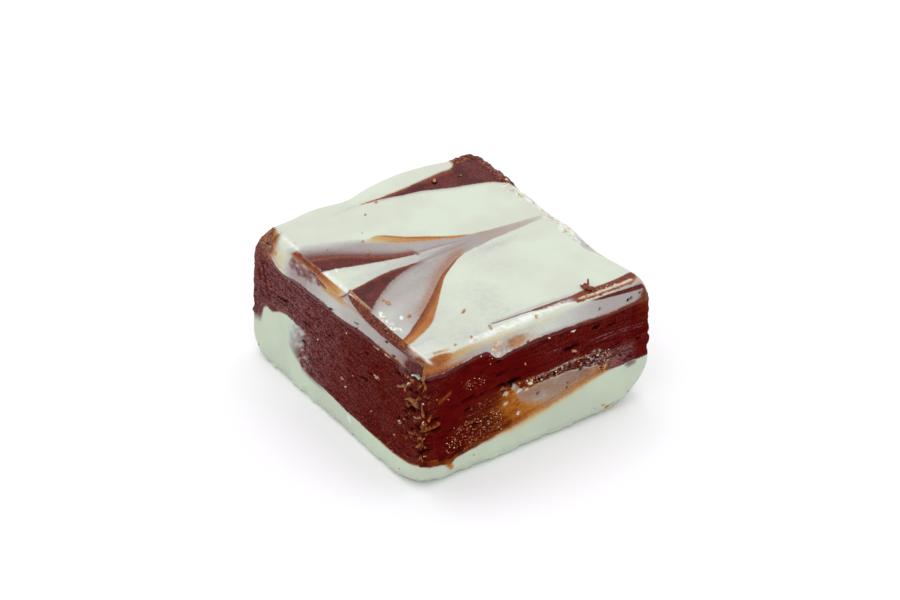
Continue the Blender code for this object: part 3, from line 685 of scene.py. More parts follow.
def left_pattern(a, z):
    p, at, strip, base, slope = wall_pattern(LEFT, a, z)
    fine, mid = noise(at, (0.40, 0.26, 1.0), 61), noise(at, 1.1, 62)
    broad = noise(at, 3.0, 63)
    p.lift("crumble", 0.38)

    # A pale haze over the chocolate, strongest towards the back: painted sheen. Redder towards the front.
    haze = smooth(7.5, -8, a + 1.2 * mid)
    p.bloom = 0.68 * haze + 0.10 + 0.16 * broad
    p.lift("bloom", 0.75 * spot(a, z, (-13.8, 9.3), (1.3, 2.2)) + 0.2 * mid * haze)
    p.lift("bloom", 0.9 * smooth(0.25, 0.8, spot(a, z, (-6.6, 5.9), (2.3, 1.7)) + 0.25 * mid))
    p.lift("bloom", 0.85 * smooth(14.9, 13.6, a) * smooth(11.5, 12.6, a) * smooth(12.6, 13.6, z))
    dark, _ = stroke(a, z, [(-14.4, 12.6), (-13.9, 10.8), (-13.3, 9.0), (-12.9, 8.0)], 0.14, 0.3)
    p.lay("bloom", dark, 0.0)
    dark, _ = stroke(a, z, [(-15.2, 11.5), (-14.9, 9.5)], 0.12, 0.3)
    p.lay("bloom", dark, 0.0)
    rust = smooth(0.25, 0.8, spot(a, z, (-13.6, 13.7), (1.6, 0.7), -0.15) + 0.12 * mid)
    p.stain(rust, 0.78)
    p.lay("cocoa", 0.8 * rust, 0.1)
    edge = smooth(-14.9, -15.9, a - 0.12 * (z - 10)) * smooth(7.5, 9.5, z)
    p.stain(0.8 * edge, 0.84)
    p.lay("cocoa", 0.7 * edge, 0.3 + fine)

    # The base's lobe, greying softly into the chocolate.
    slanted = a + 0.55 * mid + 0.3 * fine - 0.45 * (z - 5.2)
    into = smooth(-8.6, -4.6, slanted)
    foot = curve([(-10, 4.6), (-9, 4.1), (-8, 3.5), (-7, 3.1), (-5, 2.7), (-3, 2.5)], a)
    beside = smooth(-10.2, -9.0, a) * smooth(-3.4, -5.4, a) * inside((7.9 - z) / 0.7) * inside((z - foot) / 0.6)
    p.lay("cocoa", beside, -1.3 + 2.7 * into + 0.5 * fine * (1 - into))
    p.lift("veil", beside * (0.05 + 0.74 * smooth(-10.0, -6.4, slanted)))
    p.lift("bloom", beside)
    tipped = np.stack([0.82 * a + 0.57 * z, 0.82 * z - 0.57 * a, 0 * a], axis=-1)
    dragged = smooth(0.0, 0.7, noise(tipped, (0.8, 0.15, 1.0), 66) + 0.3 * fine)
    p.lift("frost_and_glint", 0.34 * beside * dragged * smooth(-9.2, -8.0, a) * smooth(-4.4, -6.2, a))
    soft = fade(np.abs(z - base), 0.5, 2) * smooth(-8.0, -7.0, a) * smooth(-1.0, -4.0, a)
    p.lay("cocoa", 0.6 * soft, 0.0)
    p.lift("veil", 0.45 * soft)
    p.stain(0.85 * fade(np.abs(z - base - 0.05), 0.24, 2) * smooth(-14.6, -14, a) * smooth(-9.4, -10.4, a), 0.80)
    p.stain(0.75 * fade(np.abs(z - base), 0.16, 2) * smooth(6, 10, a), 0.70)
    grey = fade(np.abs(z - base), 0.7, 2) * smooth(-14.0, -15, a)
    p.lift("veil", 0.7 * grey)
    p.lay("cocoa", 0.7 * grey, 0.0)
    dull = fade(np.abs(z - base), 0.5, 2) * smooth(-15, -14.2, a) * smooth(-12.4, -13.4, a)
    p.lay("cocoa", 0.6 * dull, 0.0)

    # Above the chocolate: cream, a violet swirl, then the thin grey strip under a brown line.
    s = inside((z - strip) / 0.25)
    p.lift("veil", s * curve([(-17, 0.8), (-15, 0.7), (-13.8, 0.5), (-12.6, 0.30), (-11.2, 0.05), (-10, 0.16), (-9, 0.40), (-6, 0.42),
                             (-4, 0.34), (-2, 0.24), (0, 0.20), (2, 0.30), (5, 0.37), (9, 0.45), (11.5, 0.55), (13, 0.72),
                             (14, 0.9), (17, 1.0)], a))
    p.stain(s * 0.55 * spot(a, z, (-11.2, 14.5), (1.5, 1.2)), 0.20)
    p.stain(s * 0.65 * spot(a, z, (-11.3, 13.6), (1.5, 0.6)), 0.46)
    p.stain(s * 0.9 * smooth(0.3, 0.7, spot(a, z, (-12.0, 14.6), (0.30, 0.35)) + 0.1 * fine), 0.55)
    p.stain(s * smooth(-13.7, -14.3, a + 0.3 * mid), 0.74)
    p.lay("cocoa", s * smooth(-13.8, -14.6, a + 0.4 * mid), 0.2)
    swirl = between(a, z + 0.08 * mid, [(-10, 16.0), (-6, 15.9), (-4, 15.5), (-2.2, 15.25)],
                    [(-10, 14.4), (-8, 14.2), (-6, 14.35), (-4, 14.75), (-2.2, 15.1)], 0.2, 0.35, (-9.7, -2.0))
    swirl = inside(swirl + 0.4 * mid + 0.2 * fine) * smooth(-10.0, -9.0, a + 0.4 * mid)
    p.lift("veil", swirl * (0.78 + 0.22 * fine + 0.10 * mid))
    p.lay("cocoa", swirl * smooth(-0.6, 0.5, fine + 0.4 * mid), -0.1)
    p.lift("frost_and_glint", 0.28 * swirl * smooth(0.35, 0.7, noise(at, (0.5, 0.2, 1.0), 65)))
    p.lift("bloom", 0.9 * swirl)
    mask, _ = stroke(a, z, [(-7.6, 15.75), (-5, 15.5), (-3.6, 15.32), (-2.2, 15.2)], 0.12, 0.12)
    p.lay("cocoa", mask, 0.7)
    p.lift("veil", 0.5 * s * smooth(-9.8, -8.6, a) * smooth(-4.4, -6, a))
    gloom = inside((strip - z) / 0.3) * inside((z - strip + 0.9) / 0.3) * smooth(-9.9, -9, a) * smooth(-5, -6.6, a)
    p.lay("cocoa", gloom * (0.5 + 0.5 * fine), -0.2)
    p.lift("veil", 0.6 * gloom)
    p.stain(s * 0.85 * fade(np.abs(z - 15.25 - 0.03 * a), 0.36, 2) * smooth(-4.4, -2.4, a) * smooth(3.0, 0.5, a), 0.46)
    p.stain(s * 0.8 * smooth(15.2, 15.6, z) * smooth(-6, -3, a) * smooth(3.5, 2, a), 0.66)
    line = between(a, z + 0.05 * mid, [(1.2, 16.3), (17, 16.3)], [(1.2, 15.62), (3, 15.38), (5, 15.24), (8, 15.18), (12, 15.25),
                                                               (17, 15.3)], 0.08, 0.12, (1.6, 20))
    p.cocoa = np.maximum(p.cocoa, np.minimum(line, 1.5))
    p.stain(0.8 * fade(np.abs(z - 15.35), 0.15, 2) * smooth(0.6, 1.8, a) * smooth(13, 11, a), 0.86)
    p.stain(0.55 * fade(np.abs(z - strip), 0.2, 2) * smooth(7, 9, a) * smooth(13, 12, a), 0.6)
    p.lay("cocoa", s * smooth(12.6, 14.2, a + 0.6 * mid), 1.2)
    p.lift("frost_and_glint", 0.45 * smooth(0.4, 0.8, spot(a, z, (2.6, 1.3), (0.45, 0.8), 0.3) + 0.3 * fine))

    # The torn front corner.
    torn = smooth(11.5, 14.5, a + 0.6 * mid) * smooth(3.0, 5.0, z) * smooth(15.6, 14.8, z)
    p.lift("crumble", 0.5 * torn)
    p.lay("bloom", torn, 0.05)
    p.lift("crumble", 0.55 * smooth(0.0, 0.6, mid) * smooth(4.5, 3.0, z) * (z > base))
    return p


def hidden_pattern(side, a, z, seed):
    """The two sides the photo doesn't show, finished like the ones it does."""
    p, at, strip, base, slope = wall_pattern(side, a, z)
    fine, mid, broad = noise(at, 0.35, seed), noise(at, 1.1, seed + 1), noise(at, 4.0, seed + 2)
    from_front = smooth(-16, -8, a) if side == RIGHT else 1.0
    to_left = smooth(3, 15, a) if side == BACK else 0.0
    p.lift("crumble", 0.16 + 0.2 * from_front + 0.4 * smooth(0.3, 0.8, broad) * (z > base) * smooth(15, 12, np.abs(a)))
    # Pale haze on the chocolate, partly painted sheen.
    p.bloom = (0.26 + 0.32 * broad * smooth(15, 11, np.abs(a))) * from_front + 0.5 * to_left
    s = inside((z - strip) / 0.22)
    p.lift("veil", s * (0.26 + 0.14 * broad))
    p.stain(0.7 * fade(np.abs(z - base), 0.25, 2) * smooth(-0.3, 0.3, broad + 0.2), 0.74)
    p.stain(0.5 * fade(np.abs(z - strip), 0.2, 2), 0.7)
    return p, fine, mid, base, strip


def blended(p, mask, fine):
    """A patch where the chocolate and the mint have run together."""
    p.lay("cocoa", mask, -0.5 + 0.2 * fine)
    p.lift("veil", (0.64 + 0.08 * fine) * mask)
    p.stain(0.40 * mask, 0.72)
    p.lift("bloom", smooth(0.0, 0.5, mask))


def right_pattern(a, z):
    p, fine, mid, base, strip = hidden_pattern(RIGHT, a, z, 81)
    blended(p, smooth(0.0, 1.0, spot(a, z, (4.5, 5.4), (5.2, 1.7), 0.12) + 0.30 * mid + 0.12 * fine - 0.05), fine)
    low = base - z
    p.stain(0.85 * fade(low + 0.2, 0.5, 1.6) * smooth(-14, -8, a) * smooth(4, -1, a) * (low > -1.4), 0.52)
    p.lay("cocoa", smooth(6.6, 8.2, a + 0.4 * mid) * inside((z - strip) / 0.2), 1.4)
    return p


def back_pattern(a, z):
    p, fine, mid, base, strip = hidden_pattern(BACK, a, z, 71)
    blended(p, smooth(0.0, 1.0, spot(a, z, (-5.0, 5.2), (5.0, 1.8), -0.1) + 0.30 * mid + 0.12 * fine - 0.05), fine)
    low = base - z
    p.stain(0.85 * fade(low + 0.2, 0.5, 1.6) * smooth(-1, 3, a) * smooth(14, 9, a) * (low > -1.4), 0.55)
    p.lay("cocoa", smooth(-9.4, -11.2, a + 0.4 * mid) * inside((z - strip) / 0.2), 1.4)
    return p


WALL_PATTERNS = {FRONT: front_pattern, RIGHT: right_pattern, BACK: back_pattern, LEFT: left_pattern}

# The pattern of the front, left and top is laid on along this one slanting line.
SLANT = (-0.4697, -0.6780, 0.5656)


def shoulder_inset(side, z):
    over = np.clip((z - SHOULDER_START) / SHOULDER, 0.0, 1.0)
    return SHOULDER_INSET[side] * (1.0 - np.sqrt(1.0 - over**2))


def laid_place(side, x, y, z):
    """Where a point of a side lies on that side's pattern, as (along, height)."""
    if side == FRONT:
        reach = (-LENGTH / 2 + shoulder_inset(FRONT, z) - y) / SLANT[1]
        return x + reach * SLANT[0], z + reach * SLANT[2]
    if side == LEFT:
        reach = (-WIDTH / 2 + shoulder_inset(LEFT, z) - x) / SLANT[0]
        return -(y + reach * SLANT[1]), z + reach * SLANT[2]
    return (y if side == RIGHT else -x), z


def top_place(x, y, z):
    reach = (HEIGHT - z) / SLANT[2]
    return x + reach * SLANT[0], y + reach * SLANT[1]


# ---------------------------------------------------------------- relief

# Air holes, as (along the side, height, half width, half height, depth).
HOLES = {
    FRONT: [(4.2, 10.85, 0.85, 0.24, 0.9), (3.6, 11.0, 0.35, 0.16, 0.6), (-3.6, 9.6, 1.10, 0.26, 0.9),
            (-5.0, 9.75, 0.5, 0.12, 0.4), (-2.9, 9.35, 0.5, 0.25, 0.8), (-3.5, 9.0, 0.16, 0.3, 0.4),
            (-9.0, 9.6, 0.8, 0.22, 0.6), (-7.6, 9.55, 0.6, 0.12, 0.4), (-13.4, 7.45, 0.85, 0.20, 0.9),
            (-12.9, 7.3, 0.35, 0.22, 0.8), (-13.4, 8.65, 0.6, 0.18, 0.7), (-14.6, 5.1, 0.6, 0.14, 0.6),
            (-13.9, 5.05, 0.3, 0.14, 0.5), (-4.9, 11.15, 0.8, 0.12, 0.35), (-5.2, 12.9, 0.3, 0.13, 0.4),
            (7.5, 12.2, 0.42, 0.22, 0.6), (7.9, 12.5, 0.2, 0.14, 0.4), (9.6, 11.9, 0.6, 0.10, 0.3),
            (8.1, 14.3, 0.14, 0.16, 0.5), (11.8, 14.05, 0.26, 0.14, 0.5), (12.2, 14.15, 0.16, 0.14, 0.5),
            (13.4, 14.35, 0.18, 0.10, 0.3), (-1.3, 13.85, 0.2, 0.12, 0.4), (0.0, 6.65, 0.17, 0.17, 0.6),
            (3.85, 6.55, 0.09, 0.14, 0.5), (3.8, 5.9, 0.10, 0.10, 0.2), (5.7, 7.55, 0.28, 0.20, 0.6),
            (6.3, 8.15, 0.3, 0.14, 0.4), (10.5, 9.0, 0.45, 0.12, 0.5), (13.3, 8.6, 0.3, 0.10, 0.3),
            (6.6, 9.9, 0.9, 0.08, 0.3), (0.2, 8.35, 0.35, 0.14, 0.4), (2.2, 8.5, 0.5, 0.12, 0.4),
            (4.2, 8.45, 0.3, 0.14, 0.5), (7.7, 8.25, 0.25, 0.2, 0.4), (8.3, 6.8, 0.16, 0.25, 0.4),
            (-8.2, 6.0, 0.7, 0.12, 0.35), (-6.6, 6.05, 0.5, 0.12, 0.35), (-10.2, 3.3, 0.6, 0.14, 0.4),
            (-9.1, 8.3, 0.5, 0.14, 0.35), (-4.3, 8.2, 0.14, 0.12, 0.2), (-7.3, 12.4, 0.25, 0.08, 0.3),
            (2.9, 13.0, 0.5, 0.08, 0.25)],
    LEFT: [(-0.75, 13.75, 0.42, 0.10, 0.4), (3.9, 14.4, 0.35, 0.09, 0.4), (4.1, 13.95, 0.12, 0.1, 0.3),
           (9.2, 15.0, 0.28, 0.09, 0.3), (10.9, 14.28, 0.32, 0.10, 0.4), (6.3, 12.1, 0.32, 0.14, 0.5),
           (-7.9, 12.35, 0.3, 0.10, 0.3), (-10.3, 9.6, 1.0, 0.16, 0.45), (-9.4, 9.9, 0.4, 0.10, 0.3),
           (-5.7, 9.0, 0.65, 0.15, 0.6), (-1.1, 10.15, 0.2, 0.16, 0.4), (-5.6, 10.35, 0.6, 0.10, 0.3),
           (5.7, 8.35, 0.60, 0.20, 0.7), (7.9, 9.35, 0.5, 0.12, 0.35), (6.9, 9.6, 0.4, 0.10, 0.3),
           (-6.3, 6.35, 0.45, 0.26, 0.4), (-2.9, 6.0, 0.25, 0.10, 0.35), (-5.2, 5.05, 0.5, 0.10, 0.3),
           (14.4, 7.1, 0.60, 0.18, 0.9), (12.2, 7.25, 0.25, 0.22, 0.6), (12.1, 12.9, 0.6, 0.16, 0.4),
           (14.4, 12.1, 0.35, 0.36, 0.9), (15.6, 12.4, 0.4, 0.22, 0.8), (15.4, 14.25, 0.85, 0.20, 0.9),
           (13.2, 13.2, 0.3, 0.14, 0.4), (14.6, 9.7, 0.7, 0.35, 0.5), (15.6, 7.9, 0.6, 0.3, 0.6),
           (16.2, 6.4, 0.3, 0.3, 0.6), (13.4, 8.6, 0.5, 0.2, 0.5), (13.6, 8.0, 0.3, 0.12, 0.4),
           (-13.7, 14.85, 0.35, 0.10, 0.4), (4.2, 7.45, 0.5, 0.09, 0.3), (15.9, 4.9, 0.35, 0.2, 0.5)],
    RIGHT: [(-9.0, 10.2, 1.1, 0.20, 0.7), (-3.4, 8.7, 0.6, 0.2, 0.6), (2.6, 11.4, 0.8, 0.16, 0.6),
            (6.2, 9.2, 1.3, 0.18, 0.6), (11.5, 7.6, 0.5, 0.2, 0.5), (-12.8, 8.0, 0.4, 0.16, 0.5),
            (4.8, 5.8, 0.2, 0.16, 0.5), (-6.0, 13.6, 0.2, 0.12, 0.4), (12.4, 11.0, 0.7, 0.14, 0.5)],
    BACK: [(-10.5, 9.4, 0.9, 0.2, 0.7), (-4.8, 10.8, 1.2, 0.16, 0.6), (1.6, 8.6, 0.6, 0.2, 0.6),
           (7.4, 10.4, 0.9, 0.18, 0.6), (11.8, 8.8, 0.4, 0.16, 0.5), (-6.4, 5.6, 0.25, 0.16, 0.5),
           (3.8, 12.0, 0.5, 0.12, 0.4), (9.0, 13.9, 0.2, 0.12, 0.4)],
}
# Torn lips the knife pulled up, as (points along the side and up, reach, height, tone, paleness); paleness is the white
# on a lip's crest, partly pale crumbs and partly painted highlight.
LIPS = {
    FRONT: [([(-15.3, 8.35), (-14.7, 8.05), (-14.0, 8.0), (-13.2, 8.1), (-12.6, 8.3)], 0.20, 0.50, 0.80, 0.0),
            ([(-14.6, 9.4), (-14.9, 10.2), (-15.05, 11.2), (-15.3, 12.2)], 0.17, 0.32, 0.66, 0.0),
            ([(-14.9, 12.9), (-14.5, 13.4), (-14.7, 14.2), (-14.3, 14.9)], 0.15, 0.30, 0.66, 0.0),
            ([(-14.1, 8.8), (-13.9, 9.6)], 0.12, 0.20, 0.70, 0.0),
            ([(-15.1, 7.2), (-14.9, 6.3)], 0.14, 0.25, 0.70, 0.0),
            ([(-15.2, 6.0), (-14.6, 5.6), (-14.3, 5.6)], 0.14, 0.25, 0.70, 0.0),
            ([(-15.2, 4.6), (-14.9, 3.9)], 0.14, 0.2, 0.70, 0.0),
            ([(-10.9, 6.2), (-9.6, 6.55), (-8.4, 6.6)], 0.08, 0.10, 0.80, 0.1),
            ([(-2.4, 9.1), (-0.6, 9.05), (2.0, 9.0), (3.6, 9.15), (5.0, 9.1), (7.0, 9.0), (8.6, 8.9)], 0.11, 0.14, 0.74, 0.4),
            ([(-0.6, 8.15), (1.0, 8.0), (3.0, 7.95)], 0.07, 0.06, 0.5, 0.4),
            ([(4.2, 10.4), (4.7, 10.35), (5.0, 10.1)], 0.09, 0.15, 0.5, 0.6),
            ([(8.6, 6.2), (8.9, 7.0), (8.6, 7.6)], 0.13, 0.2, 0.55, 0.3),
            ([(-5.3, 9.15), (-4.5, 9.2), (-4.0, 8.8)], 0.09, 0.10, 0.70, 0.1)],
    LEFT: [([(13.3, 10.25), (14.0, 10.75), (14.8, 11.0), (15.5, 10.85), (16.2, 10.1)], 0.15, 0.38, 0.66, 0.1),
           ([(11.8, 11.2), (12.6, 11.5), (13.2, 12.0), (13.7, 11.6)], 0.13, 0.30, 0.62, 0.1),
           ([(13.9, 12.4), (14.2, 12.8), (14.6, 13.1)], 0.08, 0.15, 0.50, 0.5),
           ([(15.4, 11.0), (15.6, 11.6), (16.0, 12.0)], 0.12, 0.28, 0.68, 0.0),
           ([(15.9, 13.3), (16.4, 13.9), (16.5, 14.7)], 0.13, 0.28, 0.68, 0.0),
           ([(15.9, 8.2), (16.6, 8.5), (17.2, 8.9)], 0.14, 0.32, 0.62, 0.1),
           ([(15.3, 5.2), (15.9, 5.8), (16.4, 6.3)], 0.13, 0.28, 0.68, 0.0),
           ([(15.7, 6.6), (16.3, 7.0), (16.7, 7.1)], 0.12, 0.25, 0.68, 0.0),
           ([(15.8, 4.1), (16.5, 4.3)], 0.12, 0.2, 0.68, 0.0),
           ([(13.9, 6.3), (14.6, 6.6), (15.0, 6.7)], 0.11, 0.2, 0.68, 0.0),
           ([(12.1, 6.5), (12.7, 6.75)], 0.10, 0.2, 0.62, 0.1),
           ([(13.7, 13.3), (14.4, 13.6), (15.2, 13.4)], 0.11, 0.2, 0.66, 0.2),
           ([(14.8, 8.9), (15.6, 9.2), (16.4, 9.5)], 0.11, 0.2, 0.66, 0.3),
           ([(13.0, 7.6), (13.6, 7.5)], 0.10, 0.15, 0.6, 0.4),
           ([(7.4, 9.9), (8.0, 10.05), (8.6, 9.85)], 0.10, 0.14, 0.56, 0.5),
           ([(1.1, 5.9), (1.5, 6.1)], 0.12, 0.15, 0.52, 0.6),
           ([(7.2, 13.6), (8.6, 13.75)], 0.08, 0.08, 0.6, 0.3), ([(9.4, 13.8), (10.6, 13.85)], 0.10, 0.08, 0.5, 0.4)],
    RIGHT: [([(-5.0, 9.5), (-4.0, 9.35), (-3.2, 9.4)], 0.08, 0.10, 0.84, 0.0),
            ([(13.0, 12.4), (13.8, 12.7), (14.8, 12.4)], 0.12, 0.20, 0.74, 0.0)],
    BACK: [([(-14.0, 11.0), (-13.2, 11.4), (-12.4, 11.2)], 0.10, 0.14, 0.78, 0.0),
           ([(5.0, 7.8), (6.0, 7.9), (6.8, 7.75)], 0.08, 0.08, 0.84, 0.0)],
}


def wall_relief(side, a, z, turn, at, p):
    """How far the wall stands out (+) or in (-) along its normal; it also colours torn lips and paints shade into
    holes, pores and beside the lips.
    """
    chocolate = smooth(-0.6, 0.8, p.cocoa)
    level = smooth(1.45, 0.9, turn)  # nothing that belongs to one side alone reaches the flat top
    flat = np.stack([a, z, np.full_like(a, 200.0 + 10 * side)], axis=-1)
    out = 0.07 * noise(at, 5.0, 91) * level
    drag = noise(flat, (2.4, 0.24, 1.0), 92) + 0.6 * noise(flat, (1.2, 0.16, 1.0), 93)
    out += (0.022 * chocolate + 0.004) * drag * level
    out += (0.022 * chocolate + 0.004) * layered_noise(flat, (0.55, 0.38, 1.0), 94, 2)
    pore = smooth(0.62, 0.9, noise(flat, (0.7, 0.25, 1.0), 95) + 0.35 * noise(flat, 0.3, 96))
    out -= 0.10 * pore * chocolate * level
    # Painted shade in the pores.
    p.lift("hollow", 0.45 * pore * chocolate * level)
    rough = layered_noise(flat, (0.5, 0.36, 1.0), 97, 2)
    grainy = np.clip(p.crumble - 0.4, 0, 1) * level
    out += grainy * (0.17 * rough - 0.03)
    # Painted shade in the low spots of the rough grain.
    p.lift("hollow", grainy * 1.1 * smooth(-0.25, -0.9, rough))
    ragged = 0.30 * noise(flat, 0.5, 98) + 0.18 * noise(flat, 0.22, 99)
    near_corner = smooth(13.2, 14.6, np.abs(a)) if side in (FRONT, BACK) else smooth(14.6, 16.0, np.abs(a))
    out += near_corner * chocolate * level * (0.13 * noise(at, 0.75, 107) + 0.07 * noise(at, 0.35, 108))
    for centre_a, centre_z, half_a, half_z, depth in HOLES[side]:
        tilted = z - centre_z - 0.12 * (a - centre_a)
        r = np.hypot((a - centre_a) / half_a, tilted / half_z)
        near = r < 3.5
        if not near.any():
            continue
        r = r[near] + ragged[near] * 1.1
        dip = smooth(1.25, 0.45, r)
        rim = np.exp(-(((r - 1.6) / 0.35) ** 2))
        out[near] += (-depth * dip + 0.05 * rim) * level[near]
        # Painted shade inside the hole.
        p.hollow[near] = np.maximum(p.hollow[near], smooth(1.25, 0.75, r) * level[near])
    for points, reach, height, tone, pale in LIPS[side]:
        d, share = line_distance(a, z, points)
        near = d < 5 * reach
        if not near.any():
            continue
        ends = smooth(0.0, 0.2, share) * smooth(1.0, 0.8, share)
        wander = d[near] + 0.16 * ragged[near]
        lip = fade(wander, reach, 2) * (0.35 + 0.65 * ends[near])
        shade = fade(wander, 2.6 * reach, 2) - fade(wander, 1.3 * reach, 2)
        out[near] += (height * lip * (1 + 0.6 * ragged[near]) - 0.35 * height * shade) * level[near]
        cover = smooth(0.35, 0.75, lip) * level[near]
        here = p.part(near)
        here.lay("hollow", cover, 0.0)
        # Painted shadow in the dip beside the lip.
        here.lift("hollow", 0.35 * shade * chocolate[near])
        here.stain(cover, tone)
        here.lay("tone", cover, tone + 0.15 * ragged[near])
        here.lay("cocoa", cover, -0.6)
        # White on the crest: partly pale crumbs, partly painted highlight.
        here.lift("frost_and_glint", pale * smooth(0.75, 1.0, lip + 0.25 * ragged[near]))
        p.put(near, here)
    if side in (FRONT, LEFT):
        corner = -15.0 if side == FRONT else 16.6
        torn = fade(np.abs(a - corner), 1.2, 2) * smooth(3.0, 4.6, z) * smooth(15.6, 14.8, z)
        wide = np.maximum(torn, 0.8 * smooth(2.0, 0.8, np.abs(a - 14.2)) * (side == LEFT) * smooth(4.0, 6.0, z))
        tear = noise(flat, (0.72, 0.36, 1.0), 101) + 0.7 * noise(flat, (0.32, 0.17, 1.0), 102)
        out += wide * (0.20 * tear - 0.04)
        # Painted shade in the hollows of the tear.
        p.lift("hollow", 0.9 * wide * smooth(-0.35, -0.85, tear) * chocolate)
        p.lay("crumble", wide, 0.25)
        # Lighter orange-brown on the raised ridges of the tear, partly painted highlight.
        ridge = wide * smooth(0.45, 0.95, tear) * chocolate
        p.stain(ridge, 0.74 + 0.14 * noise(flat, 0.7, 106))
        p.lay("cocoa", ridge, 0.5)
    return out


def foot_relief(at, z):
    """The uneven, lumpy lower edge of the base."""
    foot = smooth(2.0, 0.5, z) * smooth(0.0, 0.25, z)
    lumps = 0.14 * noise(at, 1.0, 103) + 0.10 * noise(at, 0.42, 104) + 0.05 * noise(at, 0.22, 107)
    return foot * lumps - 0.10 * fade(np.abs(z - 0.75), 0.22, 2) * (0.5 + 0.5 * noise(at, 1.6, 105))


# Burrs along the top edge: points in plan, reach, height, tone where it is stained, and paleness, the white on the
# crest, partly pale crumbs and partly painted highlight.
BURRS = [
    ([(-13.7, 9.7), (-13.6, 8.6), (-13.65, 7.2), (-13.6, 6.2), (-13.5, 4.7)], 0.17, 0.24, 0.82, 0.1),
    ([(-13.0, 0.2), (-13.2, -1.0), (-13.3, -2.6), (-13.4, -3.8), (-13.4, -4.7)], 0.22, 0.34, 0.66, 0.15),
    ([(-13.45, -4.7), (-13.55, -7.5), (-13.6, -10.0), (-13.6, -11.6)], 0.13, 0.14, None, 0.0),
    ([(-13.5, -11.6), (-13.7, -13.5), (-13.7, -14.9)], 0.16, 0.10, 0.56, 0.3),
    ([(5.6, -15.2), (7.0, -15.35), (9.0, -15.4), (11.0, -15.45), (13.6, -15.4)], 0.27, 0.24, 0.78, 0.6),
    ([(-7.5, -14.9), (-4.0, -14.85), (-1.0, -15.0), (2.0, -15.2), (5.0, -15.35)], 0.30, 0.12, None, 0.0),
]


def top_edge_relief(x, y, z, at, p):
    """Burrs and lips along the top edge, measured in plan so that the wall and the top face agree."""
    near_top = smooth(14.4, 15.2, z)
    fine = noise(at, 0.30, 111)
    mid = noise(at, 0.7, 117)
    out = np.zeros_like(x)
    for points, reach, height, tone, pale in BURRS:
        d, share = line_distance(x, y, points)
        near = (d < 4 * reach) & (near_top > 0)
        if not near.any():
            continue
        ends = smooth(0.0, 0.08, share[near]) * smooth(1.0, 0.92, share[near])
        ridge = fade(d[near] + 0.08 * fine[near], reach, 2) * ends * near_top[near]
        out[near] += height * ridge * (1.0 + 0.35 * fine[near] + 0.4 * mid[near])
        if tone is None:
            continue
        cover = smooth(0.30, 0.70, ridge + 0.15 * fine[near])
        here = p.part(near)
        here.stain(cover, tone)
        here.lay("tone", cover, tone + 0.22 * mid[near] + 0.12 * fine[near])
        here.lay("cocoa", cover, -1.5)
        # White on the crest: partly pale crumbs, partly painted highlight.
        here.lift("frost_and_glint", pale * smooth(0.7, 1.0, ridge + 0.3 * fine[near]))
        p.put(near, here)
    rim = smooth(11.9, 12.6, x) * smooth(8.2, 7.0, y) * smooth(-7.0, -5.5, y) * near_top
    flakes = noise(at, 0.55, 112) + 0.5 * noise(at, 0.25, 113)
    out += rim * 0.10 * flakes
    p.lift("frost_and_glint", 0.62 * rim * smooth(-0.1, 0.4, flakes + 0.8 * smooth(12.4, 13.2, x) - 0.5))
    corner = smooth(10.0, 10.8, x) * smooth(13.8, 14.6, y) + smooth(12.3, 12.9, x) * smooth(7.4, 8.6, y)
    corner = np.clip(corner, 0, 1) * smooth(13.5, 14.6, z)
    out += corner * (0.14 * layered_noise(at, 0.5, 114, 2) + 0.02)
    left_back = smooth(-12.0, -13.0, x) * smooth(11.6, 13.0, y) * smooth(13.0, 14.4, z)
    clods = layered_noise(at, 0.6, 116, 2)
    out += left_back * 0.16 * clods
    rust = smooth(12.2, 13.4, y - 0.6 * (x + 13.6)) * smooth(-12.6, -13.4, x - 0.25 * clods) * smooth(13.4, 14.4, z)
    p.stain(0.9 * rust, 0.70 + 0.12 * clods)
    p.lay("cocoa", rust * smooth(-0.4, 0.2, clods), 0.2)
    p.lift("crumble", rust)
    return out


def shared_relief(at):
    """Fine unevenness that runs over edges from one face to the next."""
    return 0.030 * noise(at, 2.6, 121) + 0.008 * noise(at, 0.8, 122)


def wall_surface(s, w):
    """Displaced points, pattern and normals on the wall, for arrays s and w."""
    step_s, step_w = 0.004, 0.03
    point = skin(s, w)
    w_low, w_high = np.clip(w - step_w, 0.01, WALL_TOP), np.clip(w + step_w, 0.01, WALL_TOP)
    normal = np.cross(skin(s + step_s, w) - skin(s - step_s, w), skin(s, w_high) - skin(s, w_low))
    normal /= np.linalg.norm(normal, axis=-1, keepdims=True) + 1e-12
    z, turn = wall_height(w)
    side = np.floor(s).astype(int) % 4
    x, y = point[..., 0], point[..., 1]
    pattern = Pattern(s.shape)
    out = shared_relief(point) + foot_relief(point, z)
    top = top_pattern(*top_place(x, y, z))
    to_top = smooth(0.95, 1.40, turn)
    for number in (FRONT, RIGHT, BACK, LEFT):
        mask = side == number
        a, height = laid_place(number, x[mask], y[mask], z[mask])
        here = WALL_PATTERNS[number](a, height)
        out[mask] += wall_relief(number, a, height, turn[mask], point[mask], here)
        pattern.put(mask, here.blend(top.part(mask), to_top[mask]))
    out += top_edge_relief(x, y, z, point, pattern)
    point = point + normal * out[..., None]
    point[..., 2] = np.maximum(point[..., 2], 0.0)
    return point, pattern, normal


